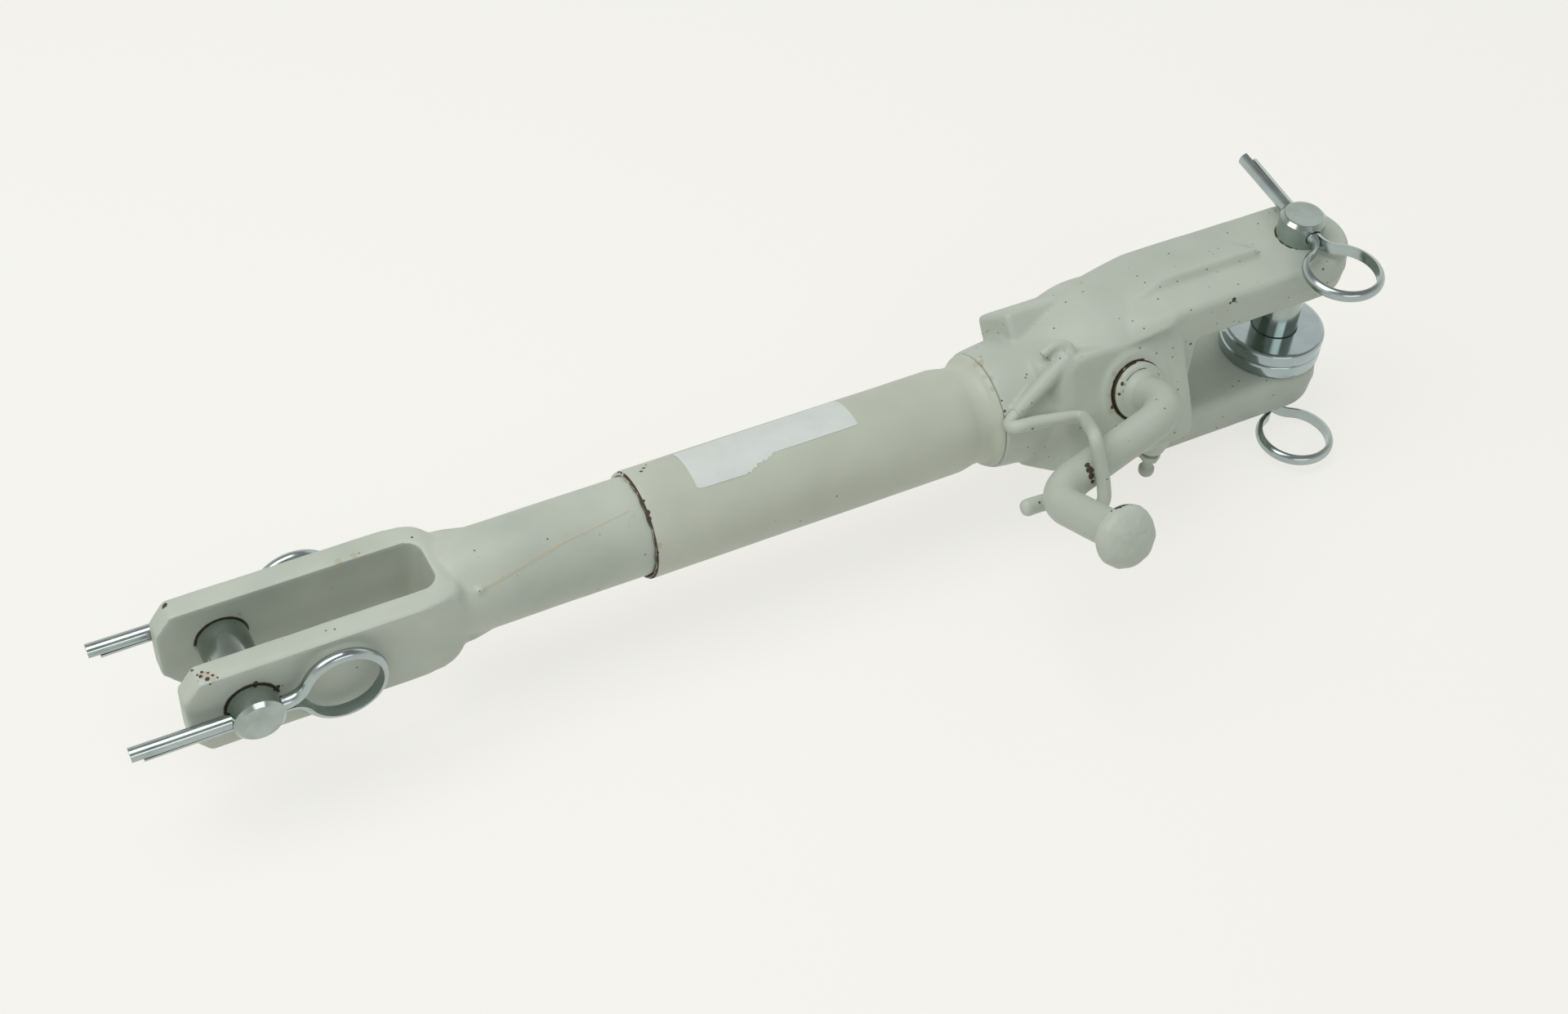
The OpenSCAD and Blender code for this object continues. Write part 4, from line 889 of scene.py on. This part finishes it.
def make_latch(context):
    """Latch: a round section carried along the wire's course."""
    path = latch_path()
    run = np.linspace(0, 1, len(path))
    # the free end is flattened and thicker, with a round tip
    r = WIRE_R + 0.9 * np.clip((run - 0.86) / 0.06, 0, 1)
    back = (1 - run) * len(path) * LATCH_STEP
    r *= np.sqrt(np.clip(1 - np.clip(1 - back / 3.6, 0, 1) ** 2, 0.0004, 1))
    section = circle(28)[None] * r[:, None, None]
    obj = solid("latch_spring", swept(path, section, (0, 0, 1), CRANK))
    waves(obj, "runs", 8.0, 0.3)
    mat = enamel(
        context, "enamel_over_spring_wire", "#AEB8AB", "#BBC3B7",
        chips=crank_marks((-71, 2.5, 40.5, 1.3), (-68.5, 3.5, 43.5, 1.0), (-73.5, 1.5, 38.5, 1.1),
                          (-66, -0.5, 45.5, 0.8), (-56.5, -17, 97, 0.7), (-82, -29, 71, 0.9),
                          (-78, -29, 71, 0.7)),
        speck=0.15)
    finish(obj, mat, None, ["latch_wire"], 50.0)
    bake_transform(obj)
    return obj


def make_nipple(context):
    """Grease nipple: hexagon, waist and ball head. Rows are height, radius and share of hexagon. The radius
    at angle t goes from a circle's towards a hexagon's, flat distance / cos of the angle from the nearest
    flat, with its corners cut at 1.12 times the flat distance."""
    rows = np.array([[1, 3.0, 0], [5.8, 3.0, 0], [6.0, 5.0, 1], [6.4, 5.25, 1], [9.2, 5.25, 1],
                     [9.7, 4.9, 0.6], [10.2, 3.9, 0], [12.0, 3.2, 0], [13.6, 2.9, 0], [15.6, 2.9, 0],
                     [16.5, 3.6, 0], [17.6, 4.3, 0], [19.6, 4.35, 0], [21.2, 3.9, 0], [22.6, 2.8, 0],
                     [23.2, 1.6, 0], [23.0, 0.9, 0], [22.2, 0.0, 0]])
    t = np.arange(72) * 2 * math.pi / 72
    flat = 1 / np.cos((t + math.pi / 6) % (math.pi / 3) - math.pi / 6)
    r = rows[:, 1:2] * (1 + rows[:, 2:3] * (np.minimum(flat, 1.12) - 1))
    obj = solid("nipple", move(skin(polar(r, rows[:, 0])), at(NIPPLE_FOOT, (0, 0, -1))))
    mat = enamel(context, "enamel_over_grease_nipple", "#A3AC9F", "#AEB6A9", speck=0.1)
    return finish(obj, mat, "housing", ["grease_nipple"], 30.0)


def pin_object(place, half, cross, matrix, material):
    """Clevis pin: chamfered at both ends with a broken edge, and a cross hole near each."""
    end = np.array([[half, 0], [half, 9.6], [half, 10.4], [half - 0.1, 10.7], [half - 1.7, 12.3],
                    [half - 1.9, PIN_R], [half - 2.6, PIN_R]])
    obj = solid(f"pin_{place}", revolve(np.vstack([end * [-1, 1], end[::-1]]), matrix, 128))
    for s in (-1, 1):
        cut(obj, move(disc(4.5, -20, 20, at((0, 0, s * cross), (1, 0, 0), (0, 1, 0)), 48), matrix))
    finish(obj, material, f"{place}_pin", [f"{place}_pin"], 25.0)


def washer_profile(t, r, hole):
    """Stamped washer: rolled outer edge on one side, sheared on the other."""
    edge = [[0, r - 1.8], [0, r - 0.9], [0.3, r - 0.25], [1.0, r], [1.4, r], [t - 2.0, r], [t - 1.5, r],
            [t - 0.6, r - 0.45], [t - 0.1, r - 1.2], [t, r - 1.8], [t, r - 2.6]]
    return np.vstack([edge, [[t, hole + 1.4], [t, hole + 0.6], [t - 0.5, hole], [t - 1.0, hole], [0.9, hole],
                             [0.4, hole], [0, hole + 0.5], [0, hole + 1.3]]])


def make_pins(context):
    """The two clevis pins and the two washers, turned round their own axes."""
    steel = "#87938A"
    upper = at((0, 0, 0), (0, 0, 1), (math.sin(PIN_TURN), math.cos(PIN_TURN), 0))
    lower = at((LOWER_X, LOWER_PIN_Y, 0), (0, 1, 0))
    pin_object("upper", UPPER_HALF, UPPER_CROSS, upper, zinc("turned_zinc_pin", steel, 0.16, 0.8, 0.25, 2))
    pin_object("lower", LOWER_HALF, LOWER_CROSS, lower,
               zinc("turned_zinc_lower_pin", steel, 0.16, 0.8, 0.25, 1))
    mat = zinc("stamped_zinc_washer", "#93A3A8", 0.13, 5.0, 0.25)
    pitch, thick, outer_r = 8, 7.97, 28.5
    for name, low, node in (("washer_low", -EAR_IN, "spacer_washer_base"),
                            ("washer_high", -EAR_IN + pitch, "spacer_washer_top")):
        profile = washer_profile(thick, outer_r, PIN_HOLE + 0.02)
        obj = solid(name, revolve(profile, at((0, 0, low), (0, 0, 1)), 128, True))
        finish(obj, mat, "washers", [node], 30.0)


def cotter_course():
    """Centre line of a split cotter's flat side, in its own plane: one leg, a bend into the ring, and back.
    The bend is a circle that touches both the leg's line and the ring."""
    r, ring, gap, bend = 4.05, 42.0, 0.15, 13.0
    radius = 22.5 - r
    rise = gap + bend
    reach = math.sqrt((radius + bend) ** 2 - rise ** 2)
    turn = math.atan2(reach, rise)
    q = np.linspace(0, turn, 12)
    start = np.stack([-ring + reach - bend * np.sin(q), rise - bend * np.cos(q)], -1)
    w = np.linspace(math.pi / 2 - turn, math.pi, 48)[1:]
    half = np.vstack([start, np.stack([-ring + radius * np.cos(w), radius * np.sin(w)], -1)])
    return half, gap, r


def cotter_object(place, matrix, mat):
    """Split cotter of half-round wire: the half-round section, flat side inwards, carried round the course.
    The legs part slightly towards their ends."""
    half, gap, r = cotter_course()
    long_leg, short_leg = 59, 54.5
    x = np.linspace(long_leg, half[0, 0] + 0.5, 40)
    part = 0.3 * np.clip((x - 14) / 45, 0, 1) ** 2
    one = np.stack([x, gap + part], -1)
    keep = x <= short_leg
    two = np.stack([x[keep], -(gap + part[keep])], -1)[::-1]
    course = np.vstack([one, half, (half * [1, -1])[-2::-1], two])
    path = np.column_stack([course, np.zeros(len(course))])
    a = np.linspace(-math.pi / 2, math.pi / 2, 17)
    # the two edges of the flat side are rolled over
    section = np.vstack([np.stack([r * np.cos(a), r * np.sin(a) * 0.985], -1),
                         [[0.12, r * 0.93], [0.0, r * 0.8], [0.0, -r * 0.8], [0.12, -r * 0.93]]])
    # drawn thinner round the ring than on the legs
    thin = 1 - 0.17 * np.clip((-path[:, 0] - 12) / 14, 0, 1)
    obj = solid(f"cotter_{place}", swept(path, section[None] * thin[:, None, None], (0, 1, 0), matrix))
    finish(obj, mat, f"{place}_cotter", [f"{place}_cotter"], 38.0)


def make_cotters(context):
    """A cotter through each end of each pin."""
    mat = zinc("half_round_zinc_wire", "#939F9F", 0.2, 3.0, 0.35)
    leg = np.array([math.sin(PIN_TURN), math.cos(PIN_TURN), 0])
    for place, z in (("top", UPPER_CROSS), ("under", -UPPER_CROSS)):
        cotter_object(place, frame_at([0, 0, z], leg, np.cross([0, 0, 1], leg), [0, 0, 1]), mat)
    for place, y in (("front", LOWER_PIN_Y - LOWER_CROSS), ("rear", LOWER_PIN_Y + LOWER_CROSS)):
        cotter_object(place, frame_at([LOWER_X, y, 0], [-1, 0, 0], [0, 0, 1], [0, 1, 0]), mat)


def make_screw(context):
    """Spindle with a right-hand trapezoid thread: r = root + depth * clamp(1.6 - |6 (phase - 0.5)|), with
    phase = fraction of (-x / lead - t / 2 pi). It fades over 4 at its upper end and 3 at its lower one."""
    lead, root, crest, cols = 5.0, 11.6, 13.95, 56
    plain_from, thread_from, thread_to, step = 151.2, 219, 390.0, 0.42
    x = np.arange(plain_from, thread_to, step)
    t = np.arange(cols) * 2 * math.pi / cols
    phase = (-x[:, None] / lead - t / (2 * math.pi)) % 1.0
    tooth = np.clip(1.6 - np.abs(phase - 0.5) * 6.0, 0, 1)
    fade = np.clip((x - thread_from) / 4, 0, 1) * np.clip((thread_to - x) / 3, 0, 1)
    plain = np.clip((thread_from + 2 - x) / 2, 0, 1)
    r = root + (crest - root) * np.maximum(tooth * fade[:, None], plain[:, None])
    # journals in front of the thread, and the chamfered tip behind it
    front = turned([[132.5, 0.01], [132.5, 7.2], [133.5, 8.0], [137.0, 8.0], [137.2, 9.8], [145.0, 10.0],
                    [145.1, 11.9], [151.1, 12.0]], cols)
    tip = turned([[390.5, 11.4], [391.8, 10.2], [391.9, 0.01]], cols)
    obj = solid("screw", move(skin(np.concatenate([front, polar(r, x), tip])), DOWN_ROD))
    mat = machined("rolled_screw_steel", "#8E8F8C", 0.3)
    finish(obj, mat, "spindle", ["screw_spindle"], 28.0)


def make_plug(context):
    """Pressed steel plug at the bottom of the gap: a shallow dish turned round the rod."""
    dish = soften([[92.0, 0.0], [92.2, 12], [92.0, 18.5], [89.4, 20.2], [89.0, 22.5], [89.1, 25.2],
                   [89.9, 25.9]], 2)
    obj = solid("gap_plug", revolve(np.vstack([dish, [[96.9, 25.95], [97.0, 25.2], [97.0, 0.0]]]), DOWN_ROD))
    mat = enamel(context, "enamel_over_pressed_plug", "#A2AB9F", "#AFB7AB",
                 rims=[((-89.5, 0, 0), (1, 0, 0), 25.8, 0.5, 1.5, ALL_ROUND, 0)], speck=0.3)
    finish(obj, mat, "housing", ["housing_plug"], 40.0)


def finish_inner(context):
    """Materials for the pieces whose frame shape is already right."""
    for mat, nodes in (
            (machined("cast_tin_bronze", "#B08D57", 0.32, dark="#6B5233"),
             ("pinion_bush", "rear_bush", "spindle_bush", "ball_cage", "fork_nut")),
            (machined("ground_bearing_steel", "#B9BBBC", 0.14),
             ("fixed_race", "turning_race", "thrust_balls", "crank_washer")),
            (machined("case_hardened_gear_steel", "#7F8082", 0.34), ("spindle_gear", "bevel_pinion")),
            (machined("blackened_small_steel", "#5E5F60", 0.42),
             ("spindle_nut", "spindle_key", "pinion_pin", "nut_pin"))):
        for node in nodes:
            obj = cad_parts[node]
            if not obj.material_slots:
                obj.data.materials.append(mat)
            for holder in obj.material_slots:
                holder.material = mat


def seen_plain(tree):
    """1 on camera, mirror and glass rays, which see the backdrop as it is, else 0."""
    ray = add(tree, "ShaderNodeLightPath").outputs
    seen = math_node(tree, "MAXIMUM", ray["Is Camera Ray"], ray["Is Glossy Ray"])
    return math_node(tree, "MAXIMUM", seen, ray["Is Transmission Ray"])


def make_stage(context):
    """Pale floor under the lowest point, soft lamps and the camera."""
    stage = context.scene.rod_stage
    scene = context.scene
    pale = hexa(stage.backdrop_hex)
    clear, floor_r = 0.0015, 4000.0
    low = cad_box[0][2] - clear
    p = np.column_stack([circle(64) * floor_r, np.zeros(64)])
    p[:, 0] += LOWER_X / 2
    floor_mesh = bpy.data.meshes.new("floor")
    floor_mesh.from_pydata((p * MM + [0, 0, low]).tolist(), [], [list(range(64))])
    floor = bpy.data.objects.new("floor", floor_mesh)
    scene.collection.objects.link(floor)
    mat = bpy.data.materials.new("painted_floor")
    tree = emptied(mat)
    matt = add(tree, "ShaderNodeBsdfDiffuse", {"Color": pale})
    shown = add(tree, "ShaderNodeEmission", {"Color": pale, "Strength": 1.0})
    share = math_node(tree, "MULTIPLY", seen_plain(tree), stage.floor_even)
    both = add(tree, "ShaderNodeMixShader", {0: share, 1: matt.outputs[0], 2: shown.outputs[0]})
    add(tree, "ShaderNodeOutputMaterial", {"Surface": both.outputs[0]})
    floor_mesh.materials.append(mat)

    scene.world = bpy.data.worlds.new("soft_room")
    tree = emptied(scene.world)
    way = add(tree, "ShaderNodeTexCoord").outputs["Generated"]
    height = add(tree, "ShaderNodeSeparateXYZ", {0: way}).outputs[2]
    light = math_node(tree, "MULTIPLY", ramp(tree, height, -0.1, 0.9, 0.25, 1.0), stage.room_light)
    room = add(tree, "ShaderNodeBackground", {"Color": hexa("#F4F7F8"), "Strength": light})
    # the backdrop is white round the horizon and falls off towards the ceiling, which only reflections show
    fall = ramp(tree, height, 0.2, 0.75, 1.0, 0.35)
    shown = add(tree, "ShaderNodeBackground", {"Color": pale, "Strength": fall})
    both = add(tree, "ShaderNodeMixShader", {0: seen_plain(tree), 1: room.outputs[0], 2: shown.outputs[0]})
    add(tree, "ShaderNodeOutputWorld", {"Surface": both.outputs[0]})

    for name, place, aim, size, watts in (
            ("key_lamp", (-0.95, 0.15, 1.45), (-0.3, 0, 0), (1.7, 1.0), stage.key_light),
            ("front_lamp", (-0.2, -1.5, 1.15), (-0.3, 0, 0), (1.2, 0.4), stage.front_light),
            ("end_lamp", (1.3, 0.9, 1.1), (-0.1, 0, 0), (1.2, 1.2), stage.end_light)):
        lamp = bpy.data.lights.new(name, "AREA")
        lamp.shape, lamp.size, lamp.size_y, lamp.energy = "RECTANGLE", size[0], size[1], watts
        obj = bpy.data.objects.new(name, lamp)
        scene.collection.objects.link(obj)
        obj.matrix_world = Matrix(at(place, unit(np.array(place) - aim)).tolist())

    lens = bpy.data.cameras.new("camera")
    lens.sensor_width, lens.lens = 36.0, 53.99
    lens.clip_start, lens.clip_end = 0.05, 20.0
    cam = bpy.data.objects.new("camera", lens)
    scene.collection.objects.link(cam)
    # the camera fitted to the photo: its place in metres, and the directions right, up and back
    cam.matrix_world = Matrix(frame_at([-0.73966, -0.71711, 0.85492], [0.88447, -0.46326, 0.05572],
                                       [0.30273, 0.66060, 0.68700], [-0.35507, -0.59076, 0.72452]).tolist())
    scene.camera = cam
    scene.view_settings.view_transform = "Standard"


# add-on

class RodSizes(bpy.types.PropertyGroup):
    """Skin and paint of the forgings and the tube"""
    voxel: bpy.props.FloatProperty(name="Skin grain", default=1.15, min=0.9, max=3.0,
                                   description="Grain of the forgings' skin in millimetres")
    relax: bpy.props.IntProperty(name="Edge rounding", description="Times the forgings' skin is relaxed",
                                 default=3, min=0, max=20)
    peel: bpy.props.FloatProperty(name="Orange peel", description="Strength of the paint's unevenness",
                                  default=0.3, min=0.0, max=1.0, subtype="FACTOR")
    paint_hex: bpy.props.StringProperty(name="Forging paint", description="Colour of the forgings' paint",
                                        default="#ACB5A9")
    tube_hex: bpy.props.StringProperty(name="Tube paint", description="Colour of the tube's paint",
                                       default="#B0B6A7")


class RodStage(bpy.types.PropertyGroup):
    """Backdrop, floor and lamps"""
    backdrop_hex: bpy.props.StringProperty(name="Backdrop", description="Colour of the floor and backdrop",
                                           default="#F5F4EF")
    floor_even: bpy.props.FloatProperty(name="Even floor", description="Share of the floor's own glow",
                                        default=0.8, min=0.0, max=1.0, subtype="FACTOR")
    room_light: bpy.props.FloatProperty(name="Room", description="Light of the room", default=0.62)
    key_light: bpy.props.FloatProperty(name="Key lamp", description="Power of the upper lamp in watts",
                                       default=15.5)
    front_light: bpy.props.FloatProperty(name="Front lamp", description="Power of the front lamp in watts",
                                         default=3.4)
    end_light: bpy.props.FloatProperty(name="End lamp", description="Power of the lamp by the upper fork",
                                       default=2.0)


class ROD_OT_stage(bpy.types.Operator):
    """Floor, lamps and camera"""
    bl_idname = "rod.stage"
    bl_label = "Stage"

    def execute(self, context):
        make_stage(context)
        return {"FINISHED"}


class ROD_OT_upper(bpy.types.Operator):
    """Upper fork and gear housing"""
    bl_idname = "rod.upper"
    bl_label = "Upper forging"

    def execute(self, context):
        make_upper(context)
        make_plug(context)
        make_nipple(context)
        return {"FINISHED"}


class ROD_OT_lower(bpy.types.Operator):
    """Lower fork and its shank"""
    bl_idname = "rod.lower"
    bl_label = "Lower forging"

    def execute(self, context):
        make_lower(context)
        return {"FINISHED"}


class ROD_OT_tube(bpy.types.Operator):
    """Tube and its blank label"""
    bl_idname = "rod.tube"
    bl_label = "Tube"

    def execute(self, context):
        make_sleeve(context)
        make_label(context)
        return {"FINISHED"}


class ROD_OT_crank(bpy.types.Operator):
    """Crank bar and the domed end of its handle"""
    bl_idname = "rod.crank"
    bl_label = "Crank"

    def execute(self, context):
        make_crank(context)
        make_knob(context)
        return {"FINISHED"}


class ROD_OT_latch(bpy.types.Operator):
    """Spring wire that holds the crank"""
    bl_idname = "rod.latch"
    bl_label = "Latch"

    def execute(self, context):
        make_latch(context)
        return {"FINISHED"}


class ROD_OT_pins(bpy.types.Operator):
    """Two clevis pins and two loose washers"""
    bl_idname = "rod.pins"
    bl_label = "Pins and washers"

    def execute(self, context):
        make_pins(context)
        return {"FINISHED"}


class ROD_OT_cotters(bpy.types.Operator):
    """Four split cotters with rings"""
    bl_idname = "rod.cotters"
    bl_label = "Cotters"

    def execute(self, context):
        make_cotters(context)
        return {"FINISHED"}


class ROD_OT_inner(bpy.types.Operator):
    """Screw with its thread, and the finish of the inner pieces"""
    bl_idname = "rod.inner"
    bl_label = "Screw and inner pieces"

    def execute(self, context):
        make_screw(context)
        finish_inner(context)
        return {"FINISHED"}


STEPS = (ROD_OT_stage, ROD_OT_upper, ROD_OT_lower, ROD_OT_tube, ROD_OT_crank, ROD_OT_latch, ROD_OT_pins,
         ROD_OT_cotters, ROD_OT_inner)


class ROD_PT_panel(bpy.types.Panel):
    """Sizes and steps of the lift rod"""
    bl_label = "Lift rod"
    bl_idname = "ROD_PT_panel"
    bl_space_type = "VIEW_3D"
    bl_region_type = "UI"
    bl_category = "Lift rod"

    def draw(self, context):
        for group in (context.scene.rod_sizes, context.scene.rod_stage):
            for key in group.__annotations__:
                self.layout.prop(group, key)
        for step in STEPS:
            self.layout.operator(step.bl_idname)


def register():
    for item in (RodSizes, RodStage, *STEPS, ROD_PT_panel):
        bpy.utils.register_class(item)
    bpy.types.Scene.rod_sizes = bpy.props.PointerProperty(type=RodSizes)
    bpy.types.Scene.rod_stage = bpy.props.PointerProperty(type=RodStage)


def unregister():
    del bpy.types.Scene.rod_stage
    del bpy.types.Scene.rod_sizes
    for item in reversed((RodSizes, RodStage, *STEPS, ROD_PT_panel)):
        bpy.utils.unregister_class(item)


def main():
    register()
    for step in STEPS:
        getattr(bpy.ops.rod, step.bl_idname.split(".")[1])()
    bpy.context.view_layer.update()


if __name__ == "__main__":
    main()
